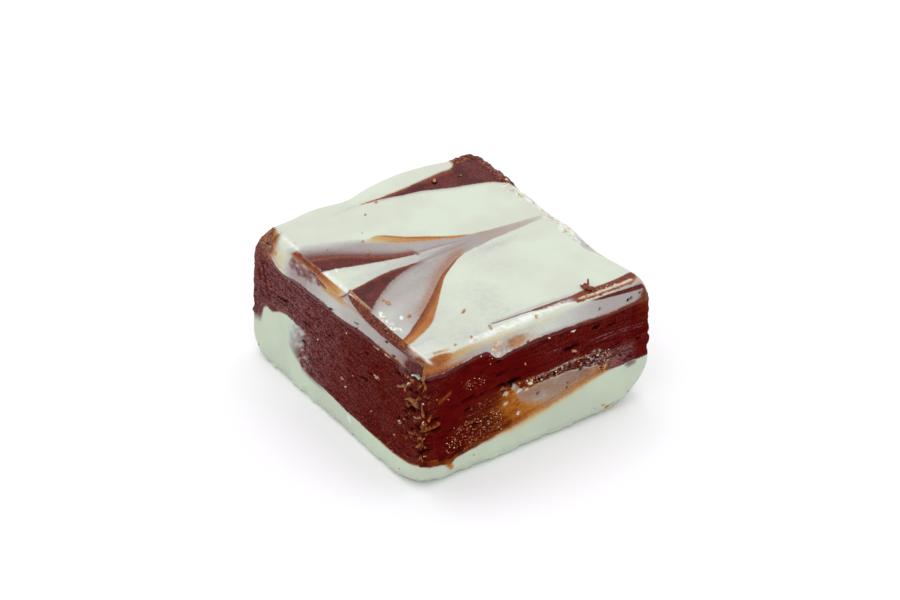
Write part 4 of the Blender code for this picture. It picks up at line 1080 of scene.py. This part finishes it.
def top_surface(ring):
    """The top face: a grid of points inside the smooth ring, displaced, with its pattern."""
    sides = [ring[k * COLUMNS : (k + 1) * COLUMNS + 1] for k in range(4)]
    sides[3] = np.concatenate([ring[3 * COLUMNS :], ring[:1]])
    front, right, back, left = sides[0], sides[1], sides[2][::-1], sides[3][::-1]
    u = np.linspace(0, 1, COLUMNS + 1)[None, :, None]
    v = np.linspace(0, 1, COLUMNS + 1)[:, None, None]
    grid = (1 - v) * front[None] + v * back[None] + (1 - u) * left[:, None] + u * right[:, None]
    grid -= (1 - v) * ((1 - u) * front[0] + u * front[-1]) + v * ((1 - u) * back[0] + u * back[-1])
    x, y = grid[..., 0], grid[..., 1]
    pattern = top_pattern(x, y)
    chocolate = smooth(-0.6, 0.8, pattern.cocoa)
    out = shared_relief(grid) + top_edge_relief(x, y, grid[..., 2], grid, pattern)
    inner = np.minimum.reduce([x - x.min(), x.max() - x, y - y.min(), y.max() - y])
    inner = smooth(0.1, 1.2, inner)
    out += inner * (0.025 + 0.012 * chocolate) * noise(grid, (3.2, 1.4, 1.0), 131)
    out += 0.004 * noise(grid, 0.45, 132) * inner
    for cx, cy, half, depth in ((6.5, 12.45, 0.33, 0.40), (9.4, 11.9, 0.22, 0.12), (0.3, -6.85, 0.28, -0.06),
                                (-12.5, 8.8, 0.3, -0.08), (-7.3, 12.3, 0.22, -0.05), (-2.8, -8.9, 0.2, -0.03)):
        r = np.hypot(x - cx, y - cy) / half + 0.25 * noise(grid, 0.3, 133)
        out -= depth * smooth(1.1, 0.4, r)
        if depth > 0.1:
            # Painted shade inside the pit.
            pattern.lift("hollow", smooth(1.1, 0.6, r))
    grid = grid.copy()
    grid[..., 2] += out
    return grid, pattern


# ---------------------------------------------------------------- meshes


def make_piece(name, points, faces, pattern, material, smooth_faces=None):
    """Makes one piece from points in millimetres; smooth_faces says which faces are shaded smooth."""
    mesh = bpy.data.meshes.new(name)
    moved = points + np.array([CENTRE_X, 0.0, 0.0])
    mesh.from_pydata((moved * MM).tolist(), [], faces)
    mesh.update()
    for attribute in Pattern.NAMES:
        layer = mesh.attributes.new(attribute, "FLOAT", "POINT")
        layer.data.foreach_set("value", getattr(pattern, attribute).astype(np.float32).ravel())
    mesh.materials.append(material)
    mesh.shade_smooth()
    if smooth_faces is not None:
        mesh.polygons.foreach_set("use_smooth", smooth_faces)
    piece = bpy.data.objects.new(name, mesh)
    bpy.context.collection.objects.link(piece)
    return piece


class Shell:
    """Collects points, patterns and faces of one closed layer."""

    def __init__(self):
        self.points, self.patterns, self.faces, self.count = [], [], [], 0
        self.smooth_faces, self.is_smooth = [], True

    def add(self, points, pattern):
        start = self.count
        self.points.append(points.reshape(-1, 3))
        self.patterns.append({n: np.asarray(getattr(pattern, n)).ravel() for n in Pattern.NAMES})
        self.count += len(self.points[-1])
        return start + np.arange(self.count - start)

    def quads(self, a, b, c, d):
        self.faces.append(np.stack([a.ravel(), b.ravel(), c.ravel(), d.ravel()], axis=1))
        self.smooth_faces += [self.is_smooth] * a.size

    def wall(self, index):
        """Joins rows of a (rows, columns) index array into a closed band facing out."""
        after = np.roll(index, -1, axis=1)
        self.quads(index[:-1], after[:-1], after[1:], index[1:])

    def cap(self, rim, ring, sides, sink, upward):
        """Closes a rim inside the block with rings that follow a layer boundary or a level."""
        self.is_smooth = sides is None
        middle = ring.mean(axis=0)
        before = rim
        blank = Pattern(len(rim))
        blank.cocoa += 12.0 if self.inner_cocoa else 0.0
        for share in (0.985, 0.94, 0.85, 0.7, 0.5, 0.28, 0.08):
            points = middle + (ring - middle) * share
            height = ring[:, 2] if sides is None else boundary(sides, points[:, 0], points[:, 1])
            edge = ring[:, 2] - (0 if sides is None else boundary(sides, ring[:, 0], ring[:, 1]))
            points[:, 2] = height + edge * share**6 + sink
            index = self.add(points, blank)
            self._band(before, index, upward)
            before = index
        centre = points.mean(axis=0)
        centre_pattern = Pattern(1)
        centre_pattern.cocoa += 12.0 if self.inner_cocoa else 0.0
        tip = self.add(centre[None], centre_pattern)
        after = np.roll(before, -1)
        order = (before, after) if upward else (after, before)
        self.faces.append(np.stack([order[0], order[1], np.full_like(before, tip[0])], axis=1))
        self.smooth_faces += [self.is_smooth] * before.size
        self.is_smooth = True

    inner_cocoa = False

    def _band(self, outer, inner, upward):
        outer_after, inner_after = np.roll(outer, -1), np.roll(inner, -1)
        if upward:
            self.quads(outer, outer_after, inner_after, inner)
        else:
            self.quads(outer, inner, inner_after, outer_after)

    def build(self, name, material):
        pattern = Pattern(self.count)
        for attribute in Pattern.NAMES:
            setattr(pattern, attribute, np.concatenate([p[attribute] for p in self.patterns]))
        faces = [face for group in self.faces for face in group.tolist()]
        return make_piece(name, np.concatenate(self.points), faces, pattern, material, self.smooth_faces)


def wall_rows(low, high, spacing=None):
    """Distances up the wall for a band between two rims, one row of places for each share."""
    rows = max(4, int(round(float(np.mean(high - low)) / CELL)))
    share = np.linspace(0, 1, rows + 1)
    if spacing:
        share = spacing(share)
    return low[None] + (high - low)[None] * share[:, None]


def envelope(rim, heights, slope):
    """The closest line above the heights (slope > 0) or below them (slope < 0) that is no steeper than slope."""
    steps = np.linalg.norm(np.diff(rim[:, :2], axis=0, append=rim[:1, :2]), axis=1)
    place = np.concatenate([[0.0], np.cumsum(steps)])
    apart = np.abs(place[:-1, None] - place[None, :-1])
    reached = heights[None] - slope * np.minimum(apart, place[-1] - apart)
    return reached.max(axis=1) if slope > 0 else reached.min(axis=1)


def build_layers(materials):
    s = np.arange(4 * COLUMNS) / COLUMNS
    rim = skin(s, np.full_like(s, SHOULDER_START / 2))
    side = np.floor(s).astype(int)
    along = np.choose(side, [rim[:, 0], rim[:, 1], rim[:, 0], -rim[:, 1]])
    base, strip = np.zeros_like(s), np.zeros_like(s)
    for number in (FRONT, RIGHT, BACK, LEFT):
        here = side == number
        base[here], strip[here] = curve(BASE_HIGH[number], along[here]), curve(STRIP_LOW[number], along[here])
    base = base + np.where(side == LEFT, 1.1, 0.35)  # the base swells out on the left
    base_w = wall_distance(envelope(rim, base, 1.5))
    core_w = wall_distance(envelope(rim, strip - 0.45, -1.0))
    floor_w, top_w = np.zeros_like(s), np.full_like(s, WALL_TOP)
    bands = {
        "mint_base": (floor_w, base_w, lambda t: 1.0 - np.cos(t * math.pi / 2) ** 1.0),
        "chocolate_core": (base_w, core_w, None),
        "mint_top": (core_w, top_w, None),
    }
    pieces, anchors = {}, {}
    for name, (low, high, spacing) in bands.items():
        w = wall_rows(low, high, spacing)
        ss = np.broadcast_to(s, w.shape)
        points, pattern, normals = wall_surface(ss, w)
        shell = Shell()
        shell.inner_cocoa = name == "chocolate_core"
        index = shell.add(points, pattern).reshape(w.shape)
        shell.wall(index)
        anchors[name] = (points, normals, ss, w)
        if name == "mint_base":
            shell.cap(index[0], points[0], None, 0.0, False)
            shell.cap(index[-1], points[-1], BASE_TOP, -0.1, True)
        elif name == "chocolate_core":
            shell.cap(index[0], points[0], BASE_TOP, 0.1, False)
            shell.cap(index[-1], points[-1], CORE_TOP, -0.1, True)
        else:
            shell.cap(index[0], points[0], CORE_TOP, 0.1, False)
            grid, top = top_surface(skin(s, top_w))
            add_top(shell, index[-1], grid, top)
            anchors["top"] = grid
        pieces[name] = shell.build(name.replace("_", "."), materials[name])
    return pieces, anchors


def add_top(shell, rim, grid, pattern):
    """Adds the top grid inside the wall's last ring, sharing the ring's points."""
    n = COLUMNS
    index = np.zeros((n + 1, n + 1), int)
    inside = Pattern((n - 1) * (n - 1))
    for name in Pattern.NAMES:
        setattr(inside, name, getattr(pattern, name)[1:-1, 1:-1].ravel())
    index[1:-1, 1:-1] = shell.add(grid[1:-1, 1:-1], inside).reshape(n - 1, n - 1)
    index[0, :] = rim[0 : n + 1]
    index[:, n] = rim[n : 2 * n + 1]
    index[n, ::-1] = rim[2 * n : 3 * n + 1]
    index[::-1, 0] = np.append(rim[3 * n :], rim[0])
    shell.quads(index[:-1, :-1], index[:-1, 1:], index[1:, 1:], index[1:, :-1])


# ---------------------------------------------------------------- crumbs


def crumb_mesh(random, radii, roughness):
    """Points and faces of one rough crumb about the origin."""
    import bmesh

    ball = bmesh.new()
    bmesh.ops.create_icosphere(ball, subdivisions=3, radius=1.0)
    points = np.array([v.co[:] for v in ball.verts])
    faces = [[v.index for v in face.verts] for face in ball.faces]
    ball.free()
    offset = random.uniform(-50, 50, 3)
    bumps = 1.0 + roughness * layered_noise(points + offset, 0.8, 7, 3)
    return points * bumps[:, None] * radii, faces


def turned(points, random, tilt=math.pi):
    """Points turned about Z at random and tipped by up to tilt."""
    spin = random.uniform(0, 2 * math.pi)
    tip = random.uniform(-tilt, tilt)
    c, s = math.cos(spin), math.sin(spin)
    ct, st = math.cos(tip), math.sin(tip)
    about_z = np.array([[c, -s, 0], [s, c, 0], [0, 0, 1]])
    about_x = np.array([[1, 0, 0], [0, ct, -st], [0, st, ct]])
    return points @ about_x.T @ about_z.T


def joined(name, crumbs, material):
    """Joins (points, faces) lumps into one piece."""
    points, faces, start = [], [], 0
    for lump, lump_faces in crumbs:
        points.append(lump)
        faces += [[i + start for i in face] for face in lump_faces]
        start += len(lump)
    return make_piece(name, np.concatenate(points), faces, Pattern(start), material)


def on_top(anchors, x, y):
    grid = anchors["top"]
    place = np.argmin((grid[..., 0] - x) ** 2 + (grid[..., 1] - y) ** 2)
    return grid.reshape(-1, 3)[place]


def on_wall(anchors, side, a, z):
    """Point and outward normal on a side at a place along it and a height."""
    best = None
    for name in ("mint_base", "chocolate_core", "mint_top"):
        points, normals, ss, w = anchors[name]
        x, y = points[..., 0], points[..., 1]
        along, height = laid_place(side, x, y, points[..., 2])
        d = (along - a) ** 2 + (height - z) ** 2 + 1e3 * (np.floor(ss).astype(int) % 4 != side)
        place = np.argmin(d)
        if best is None or d.ravel()[place] < best[0]:
            best = (d.ravel()[place], points.reshape(-1, 3)[place], normals.reshape(-1, 3)[place])
    return best[1], best[2]


# Loose crumbs on the top face, as (x, y, long radius, short radius, direction in degrees).
TOP_CRUMBS = [
    (-1.1, 12.8, 0.24, 0.16, 60), (-3.4, 11.35, 0.2, 0.10, 60), (-6.6, 7.15, 0.22, 0.12, 50),
    (-7.2, 5.05, 0.42, 0.12, 50), (-10.8, 7.8, 0.42, 0.06, 55), (-11.0, -3.5, 0.22, 0.16, 80),
    (-10.9, -4.3, 0.42, 0.20, 80), (-10.45, -7.55, 0.26, 0.20, 30), (-5.3, -10.0, 0.42, 0.15, 30),
    (-4.6, -14.1, 0.48, 0.12, 75), (-7.3, -14.35, 0.28, 0.12, 60), (6.7, 12.75, 0.28, 0.18, 60),
    (9.75, 11.95, 0.12, 0.09, 0), (12.7, -3.6, 0.26, 0.13, 55), (0.5, -15.6, 0.3, 0.12, 60),
    (-9.4, -14.5, 0.2, 0.1, 30), (6.9, -15.5, 0.2, 0.14, 70), (-5.7, 8.65, 0.1, 0.06, 40),
]


def build_crumbs(anchors, materials):
    random = np.random.default_rng(5)
    rust, pale, dark = [], [], []
    for x, y, long, short, degrees in TOP_CRUMBS:
        lump, faces = crumb_mesh(random, (long, short, short * 0.75), 0.28)
        turn = math.radians(degrees)
        c, s = math.cos(turn), math.sin(turn)
        lump = lump @ np.array([[c, s, 0], [-s, c, 0], [0, 0, 1]])
        rust.append((lump + on_top(anchors, x, y) + [0, 0, short * 0.35], faces))
    # Specks the knife left on the cut sides.
    for side, spots in {
        FRONT: [(-4.3, 8.4, 0.30, 1), (-4.3, 7.1, 0.30, 1), (-2.7, 5.1, 0.2, 1), (-1.2, 8.5, 0.38, 1),
                (-1.7, 11.25, 0.26, 0), (4.6, 10.35, 0.26, 0), (4.5, 12.95, 0.22, 1), (1.35, 13.35, 0.16, 1),
                (-7.3, 14.35, 0.16, 1), (-5.8, 14.6, 0.22, 1), (8.8, 6.9, 0.34, 0), (8.6, 6.2, 0.24, 0),
                (7.6, 1.6, 0.10, 0),
                (-8.4, 2.1, 0.16, 0), (12.1, 2.1, 0.15, 0), (-13.1, 11.35, 0.16, 0), (-11.7, 10.7, 0.15, 0)],
        LEFT: [(1.3, 5.9, 0.26, 0), (1.9, 5.2, 0.18, 1), (2.4, 12.4, 0.18, 1), (-3.3, 8.4, 0.18, 1),
               (7.0, 4.9, 0.2, 0), (14.2, 12.8, 0.26, 1), (13.4, 11.6, 0.3, 0), (12.4, 6.8, 0.24, 1),
               (-15.4, 0.7, 0.16, 0), (8.0, 9.9, 0.28, 0), (11.3, 4.4, 0.16, 0), (3.4, 7.5, 0.14, 0),
               (10.8, 2.0, 0.2, 0), (12.2, 0.6, 0.16, 0)],
        RIGHT: [(-6.0, 7.8, 0.24, 1), (3.0, 10.2, 0.22, 0), (9.0, 8.2, 0.3, 0), (-11.0, 4.0, 0.2, 0)],
        BACK: [(-8.0, 8.8, 0.24, 0), (0.0, 10.2, 0.2, 1), (6.0, 6.0, 0.26, 0), (10.0, 3.0, 0.2, 0)],
    }.items():
        for a, z, radius, is_pale in spots:
            point, normal = on_wall(anchors, side, a, z)
            radius = 0.8 * radius
            lump, faces = crumb_mesh(random, radius * np.array([1.0, 0.6, 0.5]), 0.4)
            lump = turned(lump, random) + point + normal * radius * 0.1
            lump[:, 2] = np.maximum(lump[:, 2], 0.02)
            (pale if is_pale else rust).append((lump, faces))
    # Sandy grains in the crumbly patches of the front side.
    for a0, a1, z0, z1, count, size in (
        (-12.0, -4.8, 3.4, 6.9, 90, 0.075), (-2.5, 9.6, 8.0, 9.2, 40, 0.11), (7.6, 9.6, 6.3, 8.0, 14, 0.13),
        (-10.0, -7.0, 10.7, 12.2, 12, 0.08), (-15.0, -14.5, 4.0, 14.5, 12, 0.11), (-6.6, -6.0, 13.0, 14.6, 4, 0.08),
    ):
        for _ in range(count):
            a, z = random.uniform(a0, a1), random.uniform(z0, z1)
            if z < curve(BASE_HIGH[FRONT], np.array([a]))[0] + 0.3:
                continue
            point, normal = on_wall(anchors, FRONT, a, z)
            radius = size * random.uniform(0.6, 1.2)
            lump, faces = crumb_mesh(random, radius * np.array([1.0, 0.8, 0.7]), 0.35)
            target = pale if random.random() < 0.2 else rust
            target.append((turned(lump, random) + point + normal * radius * 0.2, faces))
    # Pale mint crumbs along the ragged right-hand edge and a few on the left ridge.
    for _ in range(46):
        y = random.uniform(-6.5, 8.4)
        x = 13.0 + random.uniform(-0.5, 0.75)
        point = on_top(anchors, x, y)
        radius = random.uniform(0.08, 0.24)
        lump, faces = crumb_mesh(random, radius * np.array([1.0, 0.75, 0.6]), 0.35)
        place = np.array([x, y, point[2] - 0.5 * max(0.0, x - point[0]) + radius * 0.3])
        pale.append((turned(lump, random) + place, faces))
    for x0, y0, reach, count in ((-12.7, -6.0, 0.6, 10), (-12.6, -9.0, 0.5, 8), (-13.0, 11.0, 0.4, 4), (9.5, -15.3, 1.2, 14),
                                 (6.8, -15.3, 0.6, 6), (-12.7, 0.3, 0.3, 3)):
        for _ in range(count):
            x, y = x0 + random.normal() * reach * 0.5, y0 + random.normal() * reach * 0.4
            radius = random.uniform(0.05, 0.11)
            lump, faces = crumb_mesh(random, radius * np.array([1.0, 0.8, 0.6]), 0.3)
            pale.append((turned(lump, random) + on_top(anchors, x, y) + [0, 0, radius * 0.2], faces))
    # The shaving that lies on the front edge, with its spike.
    for x, y, lift, radii, spin, tip in (
        (7.95, -13.95, 0.25, (0.40, 0.48, 0.18), -20, 25), (8.15, -14.45, 0.2, (0.32, 0.42, 0.22), 35, -15),
        (8.5, -13.6, 0.35, (0.11, 0.58, 0.08), -38, 18), (7.7, -13.5, 0.2, (0.13, 0.26, 0.11), 10, 0),
    ):
        lump, faces = crumb_mesh(random, radii, 0.22)
        ct, st = math.cos(math.radians(tip)), math.sin(math.radians(tip))
        c, s = math.cos(math.radians(spin)), math.sin(math.radians(spin))
        lump = lump @ np.array([[1, 0, 0], [0, ct, st], [0, -st, ct]])
        lump = lump @ np.array([[c, s, 0], [-s, c, 0], [0, 0, 1]])
        dark.append((lump + on_top(anchors, x, y) + [0, 0, lift], faces))
    return {
        "chocolate.crumbs": joined("chocolate.crumbs", rust, materials["rust"]),
        "mint.crumbs": joined("mint.crumbs", pale, materials["pale"]),
        "chocolate.shaving": joined("chocolate.shaving", dark, materials["shaving"]),
    }


# ---------------------------------------------------------------- materials


def linear(red, green, blue):
    """A colour given as it looks on screen, from 0 to 255, as linear light."""
    def one(value):
        value /= 255.0
        return value / 12.92 if value <= 0.04045 else ((value + 0.055) / 1.055) ** 2.4

    return (one(red), one(green), one(blue), 1.0)


MINT = linear(205, 213, 196)
MINT_SHADE = linear(200, 204, 190)
# Painted shade for the lower part of the block.
LOWER_SHADE = (0.86, 0.91, 0.865, 1.0)
CHOCOLATE = (0.090, 0.0020, 0.0022, 1.0)
CHOCOLATE_DARK = (0.036, 0.0012, 0.0012, 1.0)
VEIL_STEPS = [(0.0, MINT), (0.12, linear(190, 193, 184)), (0.25, linear(176, 173, 169)), (0.38, linear(163, 156, 153)),
              (0.5, linear(151, 139, 136)), (0.66, linear(134, 110, 107)), (0.85, linear(112, 72, 68)),
              (1.0, (0.12, 0.022, 0.020, 1.0))]
SMEAR_STEPS = [(0.0, linear(208, 204, 166)), (0.2, linear(196, 178, 122)), (0.4, linear(182, 146, 90)),
               (0.6, linear(168, 106, 44)), (0.75, linear(144, 76, 22)), (0.9, linear(108, 42, 14)),
               (1.0, linear(88, 30, 18))]
COCOA_STEPS = [(0.0, linear(150, 116, 108)), (0.4, linear(112, 60, 50)), (0.75, CHOCOLATE), (1.0, CHOCOLATE)]


class Nodes:
    """Short names for building one material's node tree."""

    def __init__(self, name):
        self.material = bpy.data.materials.new(name)
        self.material.use_nodes = True
        self.tree = self.material.node_tree
        self.shader = self.tree.nodes["Principled BSDF"]

    def link(self, source, target):
        self.tree.links.new(source, target)

    def node(self, kind, **settings):
        made = self.tree.nodes.new(kind)
        for key, value in settings.items():
            setattr(made, key, value)
        return made

    def attribute(self, name):
        return self.node("ShaderNodeAttribute", attribute_name=name).outputs["Fac"]

    def place(self, stretch=(1.0, 1.0, 1.0)):
        """Position on the piece in millimetres."""
        coordinate = self.node("ShaderNodeTexCoord")
        mapping = self.node("ShaderNodeMapping")
        mapping.inputs["Scale"].default_value = [1.0 / MM * value for value in stretch]
        self.link(coordinate.outputs["Object"], mapping.inputs["Vector"])
        return mapping.outputs["Vector"]

    def noise(self, place, grain, detail=3.0, roughness=0.55):
        made = self.node("ShaderNodeTexNoise")
        made.inputs["Scale"].default_value = 1.0 / grain
        made.inputs["Detail"].default_value = detail
        made.inputs["Roughness"].default_value = roughness
        self.link(place, made.inputs["Vector"])
        return made.outputs["Fac"]

    def value(self, source, socket):
        if isinstance(source, (int, float)):
            socket.default_value = source
        else:
            self.link(source, socket)

    def height(self, place):
        """How high a point of a place lies, in millimetres."""
        made = self.node("ShaderNodeSeparateXYZ")
        self.link(place, made.inputs[0])
        return made.outputs["Z"]

    def math(self, operation, a, b=0.0, clamp=False):
        made = self.node("ShaderNodeMath", operation=operation, use_clamp=clamp)
        self.value(a, made.inputs[0])
        self.value(b, made.inputs[1])
        return made.outputs[0]

    def range(self, source, low, high, to_low=0.0, to_high=1.0):
        made = self.node("ShaderNodeMapRange", interpolation_type="SMOOTHSTEP")
        self.value(source, made.inputs["Value"])
        made.inputs["From Min"].default_value = low
        made.inputs["From Max"].default_value = high
        made.inputs["To Min"].default_value = to_low
        made.inputs["To Max"].default_value = to_high
        return made.outputs["Result"]

    def ramp(self, source, steps):
        made = self.node("ShaderNodeValToRGB")
        stops = made.color_ramp.elements
        while len(stops) < len(steps):
            stops.new(0.5)
        for stop, (position, colour) in zip(stops, steps):
            stop.position = position
            stop.color = colour
        self.link(source, made.inputs["Fac"])
        return made.outputs["Color"]

    def mix(self, share, a, b, blend="MIX"):
        made = self.node("ShaderNodeMix", data_type="RGBA", blend_type=blend)
        self.value(share, made.inputs[0])
        for colour, socket in ((a, made.inputs[6]), (b, made.inputs[7])):
            if isinstance(colour, tuple):
                socket.default_value = colour
            else:
                self.link(colour, socket)
        return made.outputs[2]

    def bump(self, height, distance, before=None):
        made = self.node("ShaderNodeBump")
        made.inputs["Strength"].default_value = 1.0
        made.inputs["Distance"].default_value = distance * MM
        self.link(height, made.inputs["Height"])
        if before:
            self.link(before, made.inputs["Normal"])
        return made.outputs["Normal"]


def fudge_material(name, specular):
    """Mint and chocolate fudge in one material, led by the piece's pattern."""
    n = Nodes(name)
    place = n.place()
    fine, mid, broad = n.noise(place, 0.20, 4), n.noise(place, 0.7), n.noise(place, 6.0, 2)
    grain = n.noise(n.place((0.6, 0.6, 1.2)), 0.155, 3, 0.65)
    speckle = n.noise(n.place((0.8, 0.8, 1.3)), 0.24, 2, 0.6)
    streaks = n.noise(n.place((0.16, 0.16, 1.2)), 0.30, 3)

    mint = n.mix(n.range(broad, 0.35, 0.65), MINT, MINT_SHADE)
    veil_amount = n.math("ADD", n.attribute("veil"), n.range(mid, 0.3, 0.7, -0.015, 0.015))
    veil_amount = n.math("ADD", veil_amount, n.range(fine, 0.3, 0.7, -0.015, 0.015), clamp=True)
    colour = n.mix(n.range(veil_amount, 0.0, 0.16), mint, n.ramp(veil_amount, VEIL_STEPS))
    # Painted shade: the mint is darker, and a little greener, on the lower part of the block, fully below 9.5 mm.
    low = n.range(n.height(place), 9.5, 12.5, 1.0, 0.0)
    colour = n.mix(low, colour, LOWER_SHADE, "MULTIPLY")

    tone = n.math("ADD", n.attribute("tone"), n.range(fine, 0.3, 0.7, -0.05, 0.05), clamp=True)
    smear = n.math("ADD", n.attribute("smear"), n.range(fine, 0.3, 0.7, -0.05, 0.05), clamp=True)
    colour = n.mix(n.range(smear, 0.04, 0.96), colour, n.ramp(tone, SMEAR_STEPS))

    cocoa = n.math("ADD", n.math("MULTIPLY", n.attribute("cocoa"), 0.5), 0.5)
    cocoa = n.math("ADD", cocoa, n.range(fine, 0.3, 0.7, -0.12, 0.12), clamp=True)
    crumble, bloom = n.attribute("crumble"), n.attribute("bloom")
    chocolate = n.ramp(cocoa, COCOA_STEPS)
    chocolate = n.mix(n.range(broad, 0.4, 0.6, 0.0, 0.35), chocolate, (0.118, 0.0034, 0.0028, 1.0))
    chocolate = n.mix(n.math("MULTIPLY", smear, 0.85), chocolate, n.ramp(tone, SMEAR_STEPS))
    # Pale haze on the chocolate, partly bloom and partly painted sheen, strongest on the grain's crests.
    cloud = n.math("ADD", n.range(mid, 0.3, 0.7, -0.2, 0.2), n.range(grain, 0.40, 0.60, 0.05, 0.95))
    chocolate = n.mix(n.math("MULTIPLY", bloom, cloud, clamp=True), chocolate, (0.225, 0.105, 0.108, 1.0))
    dark = n.math("MULTIPLY", n.range(streaks, 0.50, 0.38), 0.6)
    chocolate = n.mix(dark, chocolate, CHOCOLATE_DARK)
    # Painted shade in the hollows of the bumped grain.
    dark = n.math("MULTIPLY", n.range(grain, 0.49, 0.38), n.range(crumble, 0.0, 0.6, 0.10, 0.85))
    chocolate = n.mix(dark, chocolate, CHOCOLATE_DARK)
    # Light specks in the loose grain: sandy crumbs, partly painted glints.
    speck = n.mix(n.range(bloom, 0.1, 0.7), (0.34, 0.13, 0.055, 1.0), (0.36, 0.22, 0.215, 1.0))
    light = n.math("MULTIPLY", n.range(speckle, 0.56, 0.66), n.range(crumble, 0.15, 0.9, 0.0, 1.0))
    chocolate = n.mix(light, chocolate, speck)
    colour = n.mix(n.range(cocoa, 0.10, 0.70), colour, chocolate)
    # White: pale flakes, and painted highlights and glints.
    colour = n.mix(n.math("MULTIPLY", n.attribute("frost_and_glint"), 0.9), colour, linear(238, 240, 236))
    # Painted shade: near black in holes, pits and hollows and beside torn lips.
    colour = n.mix(n.range(n.attribute("hollow"), 0.1, 0.9, 0.0, 0.97), colour, (0.012, 0.0022, 0.0016, 1.0))
    n.link(colour, n.shader.inputs["Base Color"])

    is_dark = n.range(cocoa, 0.2, 0.8)
    rough = n.math("ADD", n.range(is_dark, 0.0, 1.0, 0.38, 0.55), n.range(mid, 0.3, 0.7, -0.05, 0.05))
    rough = n.math("ADD", rough, n.range(fine, 0.3, 0.7, -0.05, 0.06))
    n.link(n.math("ADD", rough, n.math("MULTIPLY", crumble, 0.15)), n.shader.inputs["Roughness"])
    depth = n.math("MULTIPLY", is_dark, n.range(crumble, 0.0, 1.0, 0.25, 1.0))
    normal = n.bump(n.math("MULTIPLY", fine, n.range(depth, 0.0, 1.0, 0.08, 1.0)), 0.06)
    normal = n.bump(n.math("MULTIPLY", grain, n.range(depth, 0.0, 1.0, 0.04, 1.0)), 0.06, normal)
    n.link(normal, n.shader.inputs["Normal"])
    n.shader.inputs["Specular IOR Level"].default_value = specular
    n.shader.inputs["IOR"].default_value = 1.45
    return n.material


def crumb_material(name, light, dark, specular=0.3):
    n = Nodes(name)
    place = n.place()
    patch, fine = n.noise(place, 0.35, 3), n.noise(place, 0.09, 3)
    colour = n.mix(n.range(patch, 0.35, 0.65), light, dark)
    colour = n.mix(n.range(fine, 0.6, 0.35, 0.0, 0.5), colour, dark)
    n.link(colour, n.shader.inputs["Base Color"])
    n.link(n.range(fine, 0.3, 0.7, 0.40, 0.62), n.shader.inputs["Roughness"])
    n.link(n.bump(fine, 0.03), n.shader.inputs["Normal"])
    n.shader.inputs["Specular IOR Level"].default_value = specular
    n.shader.inputs["Subsurface Weight"].default_value = 0.2
    n.shader.inputs["Subsurface Radius"].default_value = (1.0, 0.5, 0.3)
    n.shader.inputs["Subsurface Scale"].default_value = 0.2 * MM
    return n.material


# ---------------------------------------------------------------- stage


def build_stage():
    size = 4.0
    level = -0.02 * MM  # just under the piece, so that the two flat faces don't coincide
    mesh = bpy.data.meshes.new("floor")
    corners = [(-size, -size, level), (size, -size, level), (size, size, level), (-size, size, level)]
    mesh.from_pydata(corners, [], [(0, 1, 2, 3)])
    floor = bpy.data.objects.new("floor", mesh)
    bpy.context.collection.objects.link(floor)
    paper = bpy.data.materials.new("white_paper")
    paper.use_nodes = True
    shader = paper.node_tree.nodes["Principled BSDF"]
    shader.inputs["Base Color"].default_value = (0.965, 0.96, 0.985, 1.0)
    shader.inputs["Roughness"].default_value = 0.9
    shader.inputs["Specular IOR Level"].default_value = 0.1
    mesh.materials.append(paper)


def area_light(name, place, target, size, power, colour=(1.0, 1.0, 1.0)):
    data = bpy.data.lights.new(name, "AREA")
    data.shape = "DISK"
    data.size = size
    data.energy = power
    data.color = colour
    light = bpy.data.objects.new(name, data)
    light.location = place
    light.rotation_euler = (Vector(target) - Vector(place)).to_track_quat("-Z", "Y").to_euler()
    bpy.context.collection.objects.link(light)


def build_lights():
    world = bpy.data.worlds.new("soft_room")
    bpy.context.scene.world = world
    world.use_nodes = True
    background = world.node_tree.nodes["Background"]
    background.inputs["Color"].default_value = (1.0, 1.0, 1.0, 1.0)
    background.inputs["Strength"].default_value = 1.0
    area_light("softbox", (-0.02, 0.12, 0.65), (0, 0, 0.01), 0.80, 1.1)


CAMERA_AZIMUTH = math.radians(-34.72)
CAMERA_ELEVATION = math.radians(34.45)
CAMERA_DISTANCE = 450.0
CAMERA_LENS = 165.2
CAMERA_TARGET = (0.413, 0.636, 8.955)


def build_camera():
    away = Vector((
        math.sin(CAMERA_AZIMUTH) * math.cos(CAMERA_ELEVATION),
        -math.cos(CAMERA_AZIMUTH) * math.cos(CAMERA_ELEVATION),
        math.sin(CAMERA_ELEVATION),
    ))
    data = bpy.data.cameras.new("camera")
    data.lens = CAMERA_LENS
    data.sensor_width = 36.0
    data.clip_start = 0.01
    camera = bpy.data.objects.new("camera", data)
    target = Vector(CAMERA_TARGET) + Vector((CENTRE_X, 0, 0))
    camera.location = (target + away * CAMERA_DISTANCE) * MM
    camera.rotation_euler = (-away).to_track_quat("-Z", "Y").to_euler()
    bpy.context.collection.objects.link(camera)
    bpy.context.scene.camera = camera
    bpy.context.scene.view_settings.view_transform = "Standard"


def main():
    build_camera()
    build_stage()
    build_lights()
    materials = {
        "mint_base": fudge_material("mint_fudge", 0.05),
        "chocolate_core": fudge_material("chocolate_fudge", 0.005),
        "mint_top": fudge_material("swirled_fudge", 0.26),
        "rust": crumb_material("chocolate_crumb", linear(222, 172, 128), linear(168, 102, 60)),
        "pale": crumb_material("mint_crumb", linear(232, 228, 214), linear(214, 190, 160)),
        "shaving": crumb_material("chocolate_shaving", linear(150, 74, 44), linear(96, 28, 14)),
    }
    layers, anchors = build_layers(materials)
    for node, piece in layers.items():
        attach(piece, BODY)
        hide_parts(node)
    crumbs = build_crumbs(anchors, materials)
    for name, piece in crumbs.items():
        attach(piece, BODY)


main()
